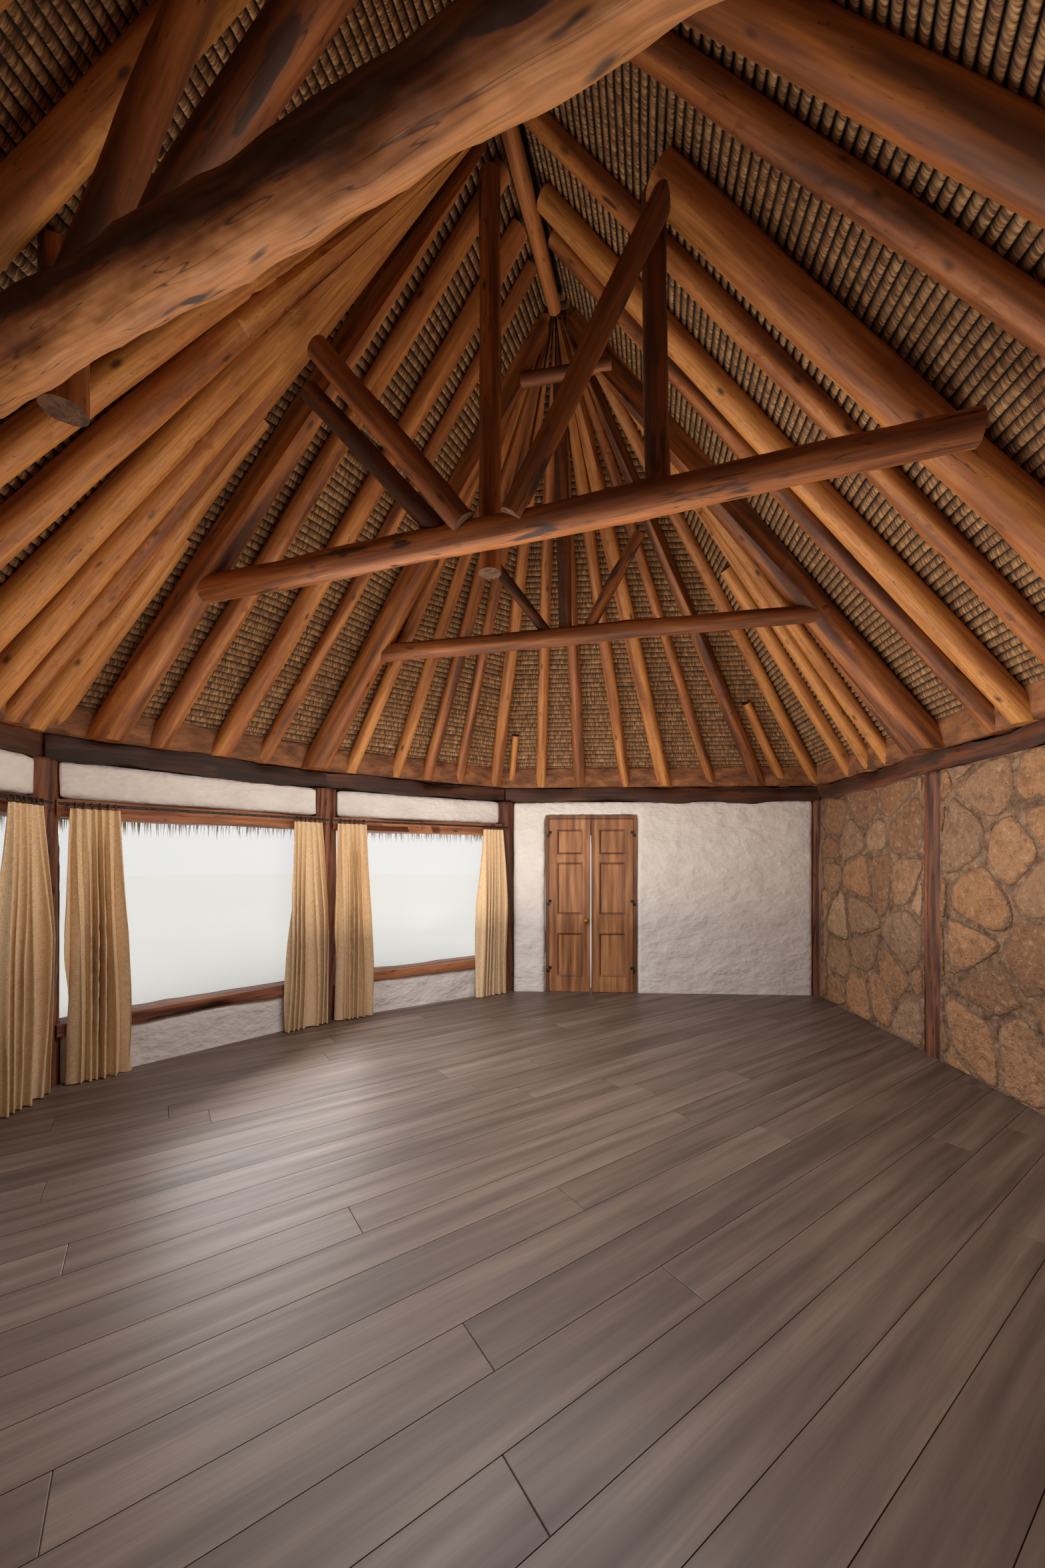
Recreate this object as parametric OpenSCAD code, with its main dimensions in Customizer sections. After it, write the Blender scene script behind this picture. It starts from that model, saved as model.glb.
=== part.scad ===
// Rondavel hut: an eight-sided room under a thatched roof on pole trusses.
// Millimetres, +Z up, origin on the ground at the middle of the eaves.
// X runs across the room, Y along the ridge towards the end wall with the double door.

/* [Plan, inside faces of the walls] */
// Widest point of the window side, left of the ridge
window_side_x = 3150; // [2800:10:3400]
// Widest point of the stone side, right of the ridge
stone_side_x = 3310; // [3200:10:3700]
// Corner between the two windows, left of the ridge
bay_corner_x = 2360; // [2200:10:2500]
// Corner between the two windows, from the middle of the room
bay_corner_y = 1840; // [1700:10:2000]
// Corner between the second window and the end wall, left of the ridge
end_left_x = 1130; // [900:10:1200]
// Corner between the second window and the end wall, from the middle
end_left_y = 3440; // [3300:10:3600]
// Corner between the end wall and the stone wall, right of the ridge
end_right_x = 2290; // [2200:10:2600]
// Corner between the end wall and the stone wall, from the middle
end_right_y = 4340; // [4200:10:4500]

/* [Walls] */
// Floor level above the ground
floor_h = 150; // [100:10:250]
// Underside of the ring beam above the floor
wall_h = 2200; // [2100:10:2400]
// Thickness of the walls under and over the windows
window_wall_t = 200; // [180:5:220]
// Thickness of the plastered end walls
end_wall_t = 250; // [220:10:300]
// Thickness of the rubble walls
stone_wall_t = 350; // [300:10:450]
// Diameter of the wall posts
post_d = 250; // [240:5:270]

/* [Windows] */
// Top of the low wall above the floor
low_wall_h = 330; // [250:10:500]
// Height of the sill log
sill_h = 80; // [60:5:120]
// Top of the glass above the floor
glass_top = 1810; // [1700:10:1850]
// Height of the lintel log
lintel_h = 120; // [90:5:150]
// Thickness of the glass
glass_t = 10; // [6:1:16]

/* [Double door] */
// Distance of the door frame from the corner beside the windows
door_from_corner = 460; // [400:10:900]
// Width over the frame
door_w = 1050; // [950:10:1300]
// Height over the frame, above the floor
door_h = 2040; // [1950:10:2100]
// Width of the frame timbers
frame_w = 40; // [35:5:60]
// Thickness of the leaves
leaf_t = 42; // [36:1:50]
// Clear gap between a leaf and the frame
leaf_gap = 7; // [6:1:10]
// Clear gap between the two leaves
meeting_gap = 12; // [10:1:20]

/* [Roof] */
// Height of the ridge above the floor, at the middle of the rafters
ridge_h = 5640; // [5400:10:5900]
// Height of the rafters above the floor, at the inside face of the walls
foot_h = 2430; // [2410:5:2480]
// Half the length of the ridge
ridge_half = 1360; // [1200:10:1500]
// Share of the rafter's length that the eaves run on past the wall
eaves_share = 0.21; // [0.16:0.01:0.24]
// Thickness of the thatch, measured upright
thatch_t = 360; // [300:10:450]
// Thickness of the reed ceiling, measured upright
reed_t = 40; // [25:5:60]

/* [Curtains] */
// Height of the curtain rods above the floor
rod_h = 1895; // [1880:5:1910]
// Diameter of the curtain rods
rod_d = 20; // [16:1:25]
// Width of a gathered curtain
curtain_w = 380; // [300:10:450]

/* [Hidden] */

// Colours of the photographed hut
plaster = "#d9cfc4";
stone = "#a98660";
pole = "#a8673a";
dark_pole = "#6b4430";
reed = "#a08a68";
straw = "#8d7a5a";
mud = "#8a5c3c";
board = "#7a6a5c";
door_wood = "#7d5033";
glass = "#bcd0d4";
brass = "#b99a55";
iron = "#2b2623";
linen = "#bca583";

// The ridge stands a little left of the middle of the eaves, where the origin is
eaves_top_share = eaves_share + 0.055;
ridge_x = -(stone_side_x - window_side_x) * (1 + eaves_top_share) / 2;

// Corners of the room in plan, clockwise from the middle of the window side
far_corners = [[ridge_x - window_side_x, 0], [ridge_x - bay_corner_x, bay_corner_y],
               [ridge_x - end_left_x, end_left_y], [ridge_x + end_right_x, end_right_y],
               [ridge_x + stone_side_x, 0]];
function flip(p) = [p[0], -p[1]];
corners = concat(far_corners, [for (i = [3 : -1 : 1]) flip(far_corners[i])]);
sides = len(corners);
wall_thickness = [window_wall_t, window_wall_t, end_wall_t, stone_wall_t,
                  stone_wall_t, end_wall_t, window_wall_t, window_wall_t];
window_sides = [0, 1, 6, 7];

// How far along the ridge a rafter reaches, against the share of its side at which it stands
middle_y = 290;
ridge_stops = [
    [[0, middle_y], [0.15, middle_y], [0.93, ridge_half], [1, ridge_half]],
    [[0, ridge_half], [1, ridge_half]],
    [[0, ridge_half], [1, ridge_half]],
    [[0, ridge_half], [0.43, ridge_half], [0.56, 900], [0.7, middle_y], [0.81, 0], [1, -330]],
    [[0, -330], [0.57, -ridge_half], [1, -ridge_half]],
    [[0, -ridge_half], [1, -ridge_half]],
    [[0, -ridge_half], [1, -900]],
    [[0, -900], [0.16, -560], [0.27, middle_y], [1, middle_y]]];

function at(list, i) = list[(i + len(list)) % len(list)];
function along(i) = let (d = at(corners, i + 1) - at(corners, i)) d / norm(d);
function outward(i) = [-along(i)[1], along(i)[0]];
function side_length(i) = norm(at(corners, i + 1) - at(corners, i));
// The point a given way along a side and outward from its inside face
function on_side(i, s, out = 0) = at(corners, i) + along(i) * s + outward(i) * out;
// Where the lines of two neighbouring sides cross when each is moved outward
function corner_out(i, before, after) =
    let (p = at(corners, i), a = at([for (k = [0 : sides - 1]) outward(k)], i - 1), b = outward(i),
         det = a[0] * b[1] - a[1] * b[0])
    p + [(before * b[1] - after * a[1]) / det, (after * a[0] - before * b[0]) / det];
function outer_corner(i) =
    corner_out(i, at(wall_thickness, i - 1), at(wall_thickness, i));

// Levels above the ground
floor_z = floor_h;
beam_z = floor_h + wall_h;
beam_top_z = beam_z + 160;
foot_z = floor_h + foot_h;
ridge_z = floor_h + ridge_h;

// A point of the roof surface above side i: f runs along the side,
// share is 0 at the wall's inside face, 1 at the ridge and below 0 past the wall
function roof_at(i, f, share, lift = 0) =
    let (foot = at(corners, i) * (1 - f) + at(corners, i + 1) * f,
         top = [ridge_x, lookup(f, ridge_stops[i])], p = foot + (top - foot) * share)
    [p[0], p[1], foot_z + (ridge_z - foot_z) * share + lift];

// The same past the wall, drawn from a ridge point that moves evenly so that the eaves run straight
function eaves_at(i, f, share, lift) =
    let (foot = at(corners, i) * (1 - f) + at(corners, i + 1) * f,
         top = [ridge_x, lookup(0, ridge_stops[i]) * (1 - f) + lookup(1, ridge_stops[i]) * f],
         p = foot + (top - foot) * share)
    [p[0], p[1], foot_z + (ridge_z - foot_z) * share + lift];

ceiling_lift = 95;
ceiling_gap = 8;
wall_head_gap = 15;
part_gap = 0.5;
thatch_lift = ceiling_lift + reed_t;
ridge_share = 0.985;
function raise(p, z) = [p[0], p[1], z];

// A tapered pole from point a to point b
module pole(a, b, da, db) {
    v = b - a;
    length = norm(v);
    translate(a)
        rotate([0, acos(v[2] / length), atan2(v[1], v[0])])
            cylinder(h = length, d1 = da, d2 = db, $fn = 32);
}

// Upright slab of one side of the room, between two levels
module side_slab(i, z0, z1) {
    translate([0, 0, z0])
        linear_extrude(z1 - z0)
            polygon([at(corners, i), outer_corner(i), outer_corner(i + 1), at(corners, i + 1)]);
}

// Box standing on one side: from s0 to s1 along it, from out0 to out1 across it
module side_box(i, s0, s1, out0, out1, z0, z1) {
    translate([0, 0, z0])
        linear_extrude(z1 - z0)
            polygon([on_side(i, s0, out0), on_side(i, s0, out1), on_side(i, s1, out1), on_side(i, s1, out0)]);
}

// A log lying on one side, flattened to the faces of such a box
module side_log(i, s0, s1, out0, out1, z0, z1, d) {
    middle = (out0 + out1) / 2;
    level = (z0 + z1) / 2;
    intersection() {
        side_box(i, s0, s1, out0, out1, z0, z1);
        pole(raise(on_side(i, s0 - 20, middle), level), raise(on_side(i, s1 + 20, middle), level), d, d);
    }
}

// What lies above the ceiling over one side, next to its start or its end
module above_ceiling(k, end = 0) {
    i = (k + sides) % sides;
    far = [ridge_x, lookup(end, ridge_stops[i])] - at(corners, i + end);
    run = -far * outward(i);
    translate(raise(at(corners, i), foot_z + ceiling_lift - wall_head_gap))
        rotate([0, 0, atan2(along(i)[1], along(i)[0])])
            rotate([-atan((ridge_z - foot_z) / run), 0, 0])
                translate([-1500, -600, 0])
                    cube([side_length(i) + 3000, 2200, 1200]);
}

// Places where posts stand: at each corner and along the stone walls
stone_post_s = 1860;
post_in = 88;
function corner_post(i) =
    let (d = outward(i) + outward((i + sides - 1) % sides)) at(corners, i) + d / norm(d) * post_in;
post_places = concat([for (i = [0 : sides - 1]) corner_post(i)],
                     [on_side(3, stone_post_s, post_in), on_side(4, side_length(4) - stone_post_s, post_in)]);

module post_holes() {
    for (p = post_places)
        translate([p[0], p[1], -1])
            cylinder(h = beam_z + 2, d = post_d, $fn = 32);
}

module floor_slab() {
    color(board)
        difference() {
            linear_extrude(floor_z) polygon(corners);
            post_holes();
        }
}

module threshold() {
    color(stone)
        side_box(2, door_from_corner, door_from_corner + door_w, part_gap, end_wall_t, 0, floor_z);
}

// The stretch of a window side between its two corner posts
module between_posts(i) {
    intersection() {
        children();
        side_box(i, 0, side_length(i), -100, 600, 0, beam_z);
    }
}

module low_walls() {
    color(plaster)
        for (i = window_sides)
            difference() {
                between_posts(i) side_slab(i, 0, floor_z + low_wall_h);
                post_holes();
            }
}

module window_heads() {
    color(plaster)
        for (i = window_sides)
            difference() {
                between_posts(i) side_slab(i, floor_z + glass_top + lintel_h, beam_z);
                post_holes();
            }
}

module window_sills() {
    color(pole)
        for (i = window_sides)
            difference() {
                side_log(i, 60, side_length(i) - 60, -20, window_wall_t - 10,
                         floor_z + low_wall_h, floor_z + low_wall_h + sill_h, 222);
                post_holes();
            }
}

module window_lintels() {
    color(pole)
        for (i = window_sides)
            difference() {
                side_log(i, 60, side_length(i) - 60, -15, window_wall_t - 10,
                         floor_z + glass_top, floor_z + glass_top + lintel_h, 235);
                post_holes();
            }
}

module window_glass() {
    color(glass, 0.4)
        for (i = window_sides)
            difference() {
                side_box(i, 60, side_length(i) - 60, 90, 90 + glass_t,
                         floor_z + low_wall_h + sill_h, floor_z + glass_top);
                post_holes();
            }
}

module wall_posts() {
    color(dark_pole)
        for (p = post_places)
            translate([p[0], p[1], 0])
                cylinder(h = beam_z, d = post_d, $fn = 32);
}

// One stretch of the end wall, between two distances from its left corner
module end_wall_part(s0, s1, z0) {
    difference() {
        intersection() {
            side_slab(2, z0, beam_z);
            side_box(2, s0, s1, -1, end_wall_t + 1, z0, beam_z);
        }
        post_holes();
        above_ceiling(2);
        above_ceiling(1, 1);
        above_ceiling(3);
    }
}

module end_wall_left() {
    color(plaster)
        end_wall_part(-500, door_from_corner, 0);
}

module end_wall_right() {
    color(plaster)
        end_wall_part(door_from_corner + door_w, side_length(2) + 500, 0);
}

module end_wall_over_door() {
    color(plaster)
        difference() {
            side_box(2, door_from_corner, door_from_corner + door_w, 0, end_wall_t, floor_z + door_h, beam_z);
            above_ceiling(2);
        }
}

module whole_wall(i) {
    difference() {
        side_slab(i, 0, beam_z);
        post_holes();
        above_ceiling(i);
        above_ceiling(i, 1);
        above_ceiling((i + 1) % sides);
        above_ceiling(i - 1, 1);
    }
}

// Ring beam: one log on each side, with a small joint over each corner post
beam_w = 190;
beam_d = 222;
beam_joint = 6;
module ring_beam() {
    color(dark_pole)
        for (i = [0 : sides - 1]) {
            a = corner_out(i, beam_w, beam_w);
            b = corner_out(i + 1, beam_w, beam_w);
            middle_a = corner_out(i, beam_w / 2, beam_w / 2) - along(i) * 60;
            middle_b = corner_out(i + 1, beam_w / 2, beam_w / 2) + along(i) * 60;
            level = (beam_z + beam_top_z) / 2;
            difference() {
                intersection() {
                    translate([0, 0, beam_z])
                        linear_extrude(beam_top_z - beam_z)
                            polygon([at(corners, i), a, b, at(corners, i + 1)]);
                    pole(raise(middle_a, level), raise(middle_b, level), beam_d, beam_d);
                }
                above_ceiling(i);
                above_ceiling(i, 1);
                above_ceiling((i + 1) % sides);
                above_ceiling(i - 1, 1);
                translate([0, 0, beam_z - 1])
                    linear_extrude(beam_top_z - beam_z + 2)
                        for (c = [[at(corners, i), a], [at(corners, i + 1), b]]) {
                            d = (c[1] - c[0]) / norm(c[1] - c[0]);
                            n = [-d[1], d[0]] * beam_joint / 2;
                            polygon([c[0] - d * 9 + n, c[1] + d * 9 + n, c[1] + d * 9 - n, c[0] - d * 9 - n]);
                        }
            }
        }
}

// A closed ring whose cross-section has one point from each loop:
// half the loops on its lower face, then half on its upper face, in the order round the section
module ring_solid(loops) {
    n = len(loops[0]);
    m = len(loops);
    points = [for (loop = loops) for (p = loop) p];
    faces = [for (j = [0 : m - 1]) for (k = [0 : n - 1])
                let (a = j * n + k, b = j * n + (k + 1) % n,
                     c = ((j + 1) % m) * n + (k + 1) % n, d = ((j + 1) % m) * n + k)
                    for (t = j < m / 2 ? [[a, b, c], [a, c, d]] : [[a, b, d], [b, c, d]]) t];
    polyhedron(points, faces, convexity = 4);
}

// Mud fillet that closes the wall head between the ring beam and the ceiling
fillet_reach = 30;
fillet_back = 80;
fillet_gap = 20;
fillet_share = 0.02;
module mud_fillet() {
    ring = [for (i = [0 : sides - 1]) i];
    low = [for (i = ring) raise(corner_out(i, -fillet_reach, -fillet_reach), beam_top_z)];
    back_low = [for (i = ring) raise(corner_out(i, fillet_back, fillet_back), beam_top_z)];
    top = [for (i = ring) roof_at(i, 0, fillet_share, ceiling_lift - fillet_gap)];
    back_top = [for (i = ring) roof_at(i, 0, -fillet_share, ceiling_lift - fillet_gap)];
    color(mud)
        ring_solid([low, top, back_top, back_low]);
}

// Strips of roof surface on each side
strips = 12;
stations = [for (i = [0 : sides - 1]) for (k = [0 : strips - 1]) [i, k / strips]];
function roof_loop(share, lift) =
    [for (s = stations) share < 0 ? eaves_at(s[0], s[1], share, lift) : roof_at(s[0], s[1], share, lift)];

module reed_ceiling() {
    color(reed)
        ring_solid([roof_loop(-eaves_share, ceiling_lift), roof_loop(0, ceiling_lift),
                    roof_loop(ridge_share, ceiling_lift), roof_loop(ridge_share, thatch_lift),
                    roof_loop(0, thatch_lift), roof_loop(-eaves_share, thatch_lift)]);
}

// The coat of thatch on one side of the roof, laid in courses that each step down to the next
courses = [0.82, 0.655, 0.49, 0.325, 0.16, 0, -0.13];
course_step = 24;
module thatch(i) {
    top_lift = thatch_lift + thatch_t;
    section = concat(
        [[-eaves_share, thatch_lift], [0, thatch_lift], [ridge_share, thatch_lift],
         [ridge_share, top_lift - course_step]],
        [for (share = courses) for (lift = [top_lift, top_lift - course_step]) [share, lift]],
        [[-eaves_top_share, top_lift]]);
    m = len(section);
    points = [for (k = [0 : strips]) for (p = section)
                 p[0] < 0 ? eaves_at(i, k / strips, p[0], p[1]) : roof_at(i, k / strips, p[0], p[1])];
    skin = [for (r = [0 : strips - 1]) for (k = [0 : m - 1])
                let (a = r * m + k, b = r * m + (k + 1) % m, c = a + m, d = b + m)
                    for (t = k < 3 ? [[a, c, d], [a, d, b]] : [[a, c, b], [b, c, d]]) t];
    last = strips * m;
    first_end = concat([for (k = [3 : m - 2]) [2, k, k + 1]], [[2, m - 1, 1], [1, m - 1, 0]]);
    last_end = [for (t = first_end) [last + t[2], last + t[1], last + t[0]]];
    color(straw)
        polyhedron(points, concat(skin, first_end, last_end), convexity = 4);
}

cap_w = 620;
cap_h = 200;
module ridge_cap() {
    top = ridge_z + thatch_lift + thatch_t;
    color(straw)
        translate([ridge_x, ridge_half + 250, top - 150])
            rotate([90, 0, 0])
                linear_extrude(2 * ridge_half + 500)
                    polygon([[-cap_w / 2, -120], [-cap_w / 3, 60], [0, cap_h], [cap_w / 3, 60],
                             [cap_w / 2, -120], [0, 155]]);
}

// A rafter under the ceiling, given as side, share of the side, diameter at the foot
// and share of the slope at which its top is cut. Its foot bears on the ring beam.
tail_share = -0.045;
taper = 0.8;
function pitch_lift(i, f, d) =
    let (a = roof_at(i, f, 0), b = roof_at(i, f, 1), run = norm([b[0] - a[0], b[1] - a[1]]))
    ceiling_lift - ceiling_gap - d / 2 * norm(b - a) / run;
module rafter(r) {
    i = r[0];
    f = r[1];
    top = r[3];
    d1 = r[2] * (1 - (1 - taper) * top);
    difference() {
        pole(roof_at(i, f, tail_share, pitch_lift(i, f, r[2])), roof_at(i, f, top, pitch_lift(i, f, d1)), r[2], d1);
        side_box(i, -600, side_length(i) + 600, -300, 700, beam_top_z - 500, beam_top_z);
    }
}

// Rafters that meet at one place on the ridge are cut side by side in wedges about it.
// Only those of the given kind are drawn.
wedge_gap = 4;
module fan(y, list, kind) {
    last = len(list) - 1;
    way = [for (r = list) let (p = roof_at(r[0], r[1], 0) - [ridge_x, y, 0]) atan2(p[1], p[0])];
    turn = [for (k = [0 : last - 1]) let (t = way[k] - way[k + 1]) t - 360 * floor(t / 360)];
    for (k = [0 : last])
        if (list[k][4] == kind) {
            before = turn[max(k - 1, 0)] / 2;
            after = turn[min(k, last - 1)] / 2;
            ends = [way[k] + before, way[k] - after];
            tip = wedge_gap / sin((before + after) / 2) * [cos(way[k]), sin(way[k])];
            intersection() {
                rafter(list[k]);
                translate([ridge_x, y, beam_z])
                    linear_extrude(ridge_z)
                        polygon([tip, for (a = ends) tip + 9000 * [cos(a), sin(a)]]);
            }
        }
}

// The rafters, clockwise from the near window side
common = 0;
principal = 1;
full = 0.965;
bay_near_list = [
    [6, 0.2, 120, 0.92], [6, 0.4, 135, 0.78], [6, 0.6, 115, 0.94], [6, 0.8, 130, 0.78], [6, 0.97, 120, 0.952],
    [7, 0.14, 165, 0.952]];
left_fan = [
    [7, 0.29, 150, full, common], [7, 0.45, 165, full, common], [7, 0.63, 170, full, common],
    [7, 0.76, 165, full, common], [7, 0.86, 150, full, common], [7, 0.95, 150, 0.53, common],
    [0, 0.02, 105, 0.34, common], [0, 0.153, 215, full, principal]];
left_list = [[0, 0.32, 145, full], [0, 0.535, 160, full], [0, 0.71, 115, full]];
far_fan = [
    [0, 0.927, 230, full, principal],
    [1, 0.115, 125, full, common], [1, 0.34, 115, full, common], [1, 0.51, 130, full, common],
    [1, 0.7, 110, full, common], [1, 0.93, 135, full, common],
    [2, 0.02, 85, 0.14, common], [2, 0.116, 120, full, common], [2, 0.243, 130, full, common],
    [2, 0.39, 120, full, common], [2, 0.515, 155, full, common], [2, 0.66, 105, full, common],
    [2, 0.81, 145, full, common], [2, 0.88, 95, 0.22, common], [2, 0.985, 120, full, common],
    [3, 0.146, 130, 0.5, common], [3, 0.224, 120, full, common], [3, 0.29, 125, full, common],
    [3, 0.36, 115, full, common], [3, 0.43, 240, full, principal]];
right_list = [
    [3, 0.556, 130, full], [3, 0.61, 165, full], [3, 0.7, 130, full], [3, 0.955, 140, full],
    [4, 0.06, 190, full], [4, 0.2, 130, full], [4, 0.32, 130, full], [4, 0.44, 130, full]];
near_fan = [
    [4, 0.56, 150, full, common], [4, 0.66, 125, 0.5, common], [4, 0.76, 130, full, common],
    [4, 0.87, 120, full, common], [5, 0.02, 130, full, common], [5, 0.14, 120, full, common],
    [5, 0.27, 130, full, common], [5, 0.4, 120, full, common], [5, 0.53, 145, full, common],
    [5, 0.66, 110, full, common], [5, 0.79, 135, full, common], [5, 0.9, 115, full, common],
    [6, 0.03, 130, full, common]];
middle_right_principal = [3, 0.807, 215, 0.74];

module each_rafter(list) {
    for (r = list)
        rafter(r);
}

module rafters_left() {
    color(pole) {
        each_rafter(bay_near_list);
        fan(middle_y, left_fan, common);
        each_rafter(left_list);
    }
}

module rafters_right() {
    color(pole)
        each_rafter(right_list);
}

module rafters_far() {
    color(pole)
        fan(ridge_half, far_fan, common);
}

module rafters_near() {
    color(pole)
        fan(-ridge_half, near_fan, common);
}

module principal_rafters() {
    color(pole) {
        fan(middle_y, left_fan, principal);
        fan(ridge_half, far_fan, principal);
        rafter(middle_right_principal);
    }
}

module ridge_pole() {
    color(pole)
        pole([ridge_x, -ridge_half, ridge_z - 130], [ridge_x, ridge_half, ridge_z - 130], 110, 95);
}

// Places in the trusses: right of the ridge, along it and above the floor
function spot(x, y, h) = [ridge_x + x, y, floor_z + h];
tie_h = 3300;
near_y = -1180;

module tie_beam_near() {
    color(pole)
        difference() {
            pole(spot(-1800, near_y + 50, tie_h), spot(2160, near_y - 193, tie_h), 230, 155);
            rafters_left();
            rafters_right();
        }
}

module tie_beam_middle() {
    color(pole)
        difference() {
            pole(spot(-2180, middle_y + 12, tie_h - 8), spot(2080, middle_y - 6, tie_h), 168, 150);
            principal_rafters();
        }
}

module tie_beam_far() {
    color(pole)
        difference() {
            pole(spot(-1750, 1612, tie_h + 2), spot(1890, 2076, tie_h + 60), 148, 132);
            principal_rafters();
        }
}

module tie_beams() {
    tie_beam_near();
    tie_beam_middle();
    tie_beam_far();
}

// Posts lap the far side of the ties, and some run on below them
module truss_posts() {
    color(dark_pole)
        difference() {
            union() {
                pole(spot(-1340, near_y + 195, tie_h - 60), spot(-1340, near_y + 195, tie_h + 545), 150, 147);
                pole(spot(-140, middle_y + 135, tie_h - 160), spot(-140, middle_y + 135, ridge_h - 245), 125, 115);
                pole(spot(-30, 1840, tie_h), spot(-10, 1500, ridge_h - 470), 115, 100);
            }
            tie_beams();
            ridge_pole();
        }
}

// The lighter poles: a post right of the middle, the log across the near truss, and the collar
module peeled_truss_poles() {
    color(pole)
        difference() {
            union() {
                pole(spot(790, middle_y + 60, tie_h), spot(770, middle_y + 60, tie_h + 1545), 130, 120);
                pole(spot(-1395, near_y + 355, tie_h + 495), spot(430, near_y + 330, tie_h + 1750), 173, 160);
                pole(spot(-275, 1406, ridge_h - 535), spot(390, 1484, ridge_h - 524), 97, 90);
            }
            tie_beams();
            principal_rafters();
            truss_posts();
            rafters_left();
            rafters_right();
        }
}

module truss_struts() {
    color(dark_pole)
        difference() {
            union() {
                pole(spot(-1190, near_y + 60, tie_h), spot(-560, near_y + 110, tie_h + 1050), 130, 115);
                pole(spot(867, middle_y - 75, tie_h + 1430), spot(60, middle_y - 75, tie_h), 115, 120);
                pole(spot(-945, -27, tie_h + 941), spot(-210, 230, tie_h + 20), 126, 135);
                pole(spot(-1090, 90, tie_h + 850), spot(-330, 300, tie_h - 20), 110, 120);
                pole(spot(-640, 1700, tie_h + 700), spot(-130, 1830, tie_h), 90, 90);
                pole(spot(560, 1790, tie_h + 730), spot(120, 1855, tie_h + 30), 90, 90);
            }
            tie_beams();
            truss_posts();
            principal_rafters();
            peeled_truss_poles();
        }
}

// Door frame and leaves, on the end wall
frame_depth = 100;
stop_t = 12;
leaf_w = (door_w - 2 * frame_w - 2 * leaf_gap - meeting_gap) / 2;
leaf_z0 = floor_z + 10;
leaf_z1 = floor_z + door_h - frame_w - leaf_gap;
leaf_h = leaf_z1 - leaf_z0;

// Each stop stands behind the leaves, which swing into the room
module door_frame() {
    s0 = door_from_corner + part_gap;
    s1 = door_from_corner + door_w - part_gap;
    top = floor_z + door_h - part_gap;
    stop_out = leaf_t + leaf_gap;
    color(door_wood) {
        side_box(2, s0, s0 + frame_w, 0, frame_depth, floor_z, top);
        side_box(2, s1 - frame_w, s1, 0, frame_depth, floor_z, top);
        side_box(2, s0 + frame_w + part_gap, s1 - frame_w - part_gap, 0, frame_depth, top - frame_w, top);
        for (s = [s0 + frame_w + part_gap, s1 - frame_w - part_gap - stop_t])
            side_box(2, s, s + stop_t, stop_out, frame_depth, floor_z, top - frame_w - part_gap);
        side_box(2, s0 + frame_w + stop_t + 2 * part_gap, s1 - frame_w - stop_t - 2 * part_gap,
                 stop_out, frame_depth, top - frame_w - part_gap - stop_t, top - frame_w - part_gap);
    }
}

// A leaf has stiles, rails and three panels, sunk on both faces
stile_w = 88;
panel_sink = 13;
panel_tops = [0.942, 0.75, 0.34];
panel_bottoms = [0.796, 0.448, 0.088];
module door_leaf(s) {
    color(door_wood)
        difference() {
            side_box(2, s, s + leaf_w, 0, leaf_t, leaf_z0, leaf_z1);
            for (k = [0 : 2])
                for (face = [[-1, panel_sink], [leaf_t - panel_sink, leaf_t + 1]])
                    side_box(2, s + stile_w, s + leaf_w - stile_w, face[0], face[1],
                             leaf_z0 + leaf_h * panel_bottoms[k], leaf_z0 + leaf_h * panel_tops[k]);
        }
}

left_leaf_s = door_from_corner + frame_w + leaf_gap;
right_leaf_s = door_from_corner + door_w - frame_w - leaf_gap - leaf_w;

module door_leaf_left() {
    door_leaf(left_leaf_s);
}

module door_leaf_right() {
    door_leaf(right_leaf_s);
}

// A turned knob on a round rose
knob_h = 830;
module door_knob() {
    p = raise(on_side(2, left_leaf_s + leaf_w - stile_w / 2, 0), floor_z + knob_h);
    color(brass)
        translate(p)
            rotate([0, 0, atan2(outward(2)[1], outward(2)[0])])
                rotate([0, -90, 0])
                    rotate_extrude($fn = 48)
                        polygon([[0, 0], [24, 0], [24, 4], [20, 7], [9, 8], [9, 24], [19, 30], [26, 40],
                                 [24, 50], [14, 57], [0, 59]]);
}

// Hinges: each has a pin in a fixed barrel, and a barrel and plate on the leaf above it
pin_out = 8;
pin_d = 7;
barrel_d = 14;
barrel_h = 34;
bore_gap = 0.4;
plate_w = 30;
plate_t = 2;
hinge_levels = [230, 1000, 1790];
left_pin_s = door_from_corner + frame_w + leaf_gap / 2;
right_pin_s = door_from_corner + door_w - frame_w - leaf_gap / 2;

module hinge_post(s, z, h, d) {
    p = on_side(2, s, -pin_out);
    translate([p[0], p[1], z])
        cylinder(h = h, d = d, $fn = 32);
}

// A plate from the barrel onto the wood, towards the given way along the wall
module hinge_plate(s, way, z) {
    ends = way > 0 ? [s, s + plate_w] : [s - plate_w, s];
    side_box(2, ends[0], ends[1], -plate_t - part_gap, -part_gap, z, z + barrel_h);
}

module hinge_pins() {
    color(iron)
        for (h = hinge_levels)
            for (hinge = [[left_pin_s, -1], [right_pin_s, 1]]) {
                z = floor_z + h;
                hinge_post(hinge[0], z, barrel_h, barrel_d);
                hinge_post(hinge[0], z, 2 * barrel_h, pin_d);
                hinge_plate(hinge[0], hinge[1], z);
            }
}

module leaf_hinges(s, way) {
    color(iron)
        for (h = hinge_levels) {
            z = floor_z + h + barrel_h + 1;
            difference() {
                union() {
                    hinge_post(s, z, barrel_h, barrel_d);
                    hinge_plate(s, way, z);
                }
                hinge_post(s, z - 1, barrel_h + 2, pin_d + 2 * bore_gap);
            }
        }
}

module leaf_hinges_left() {
    leaf_hinges(left_pin_s, 1);
}

module leaf_hinges_right() {
    leaf_hinges(right_pin_s, -1);
}

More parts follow.
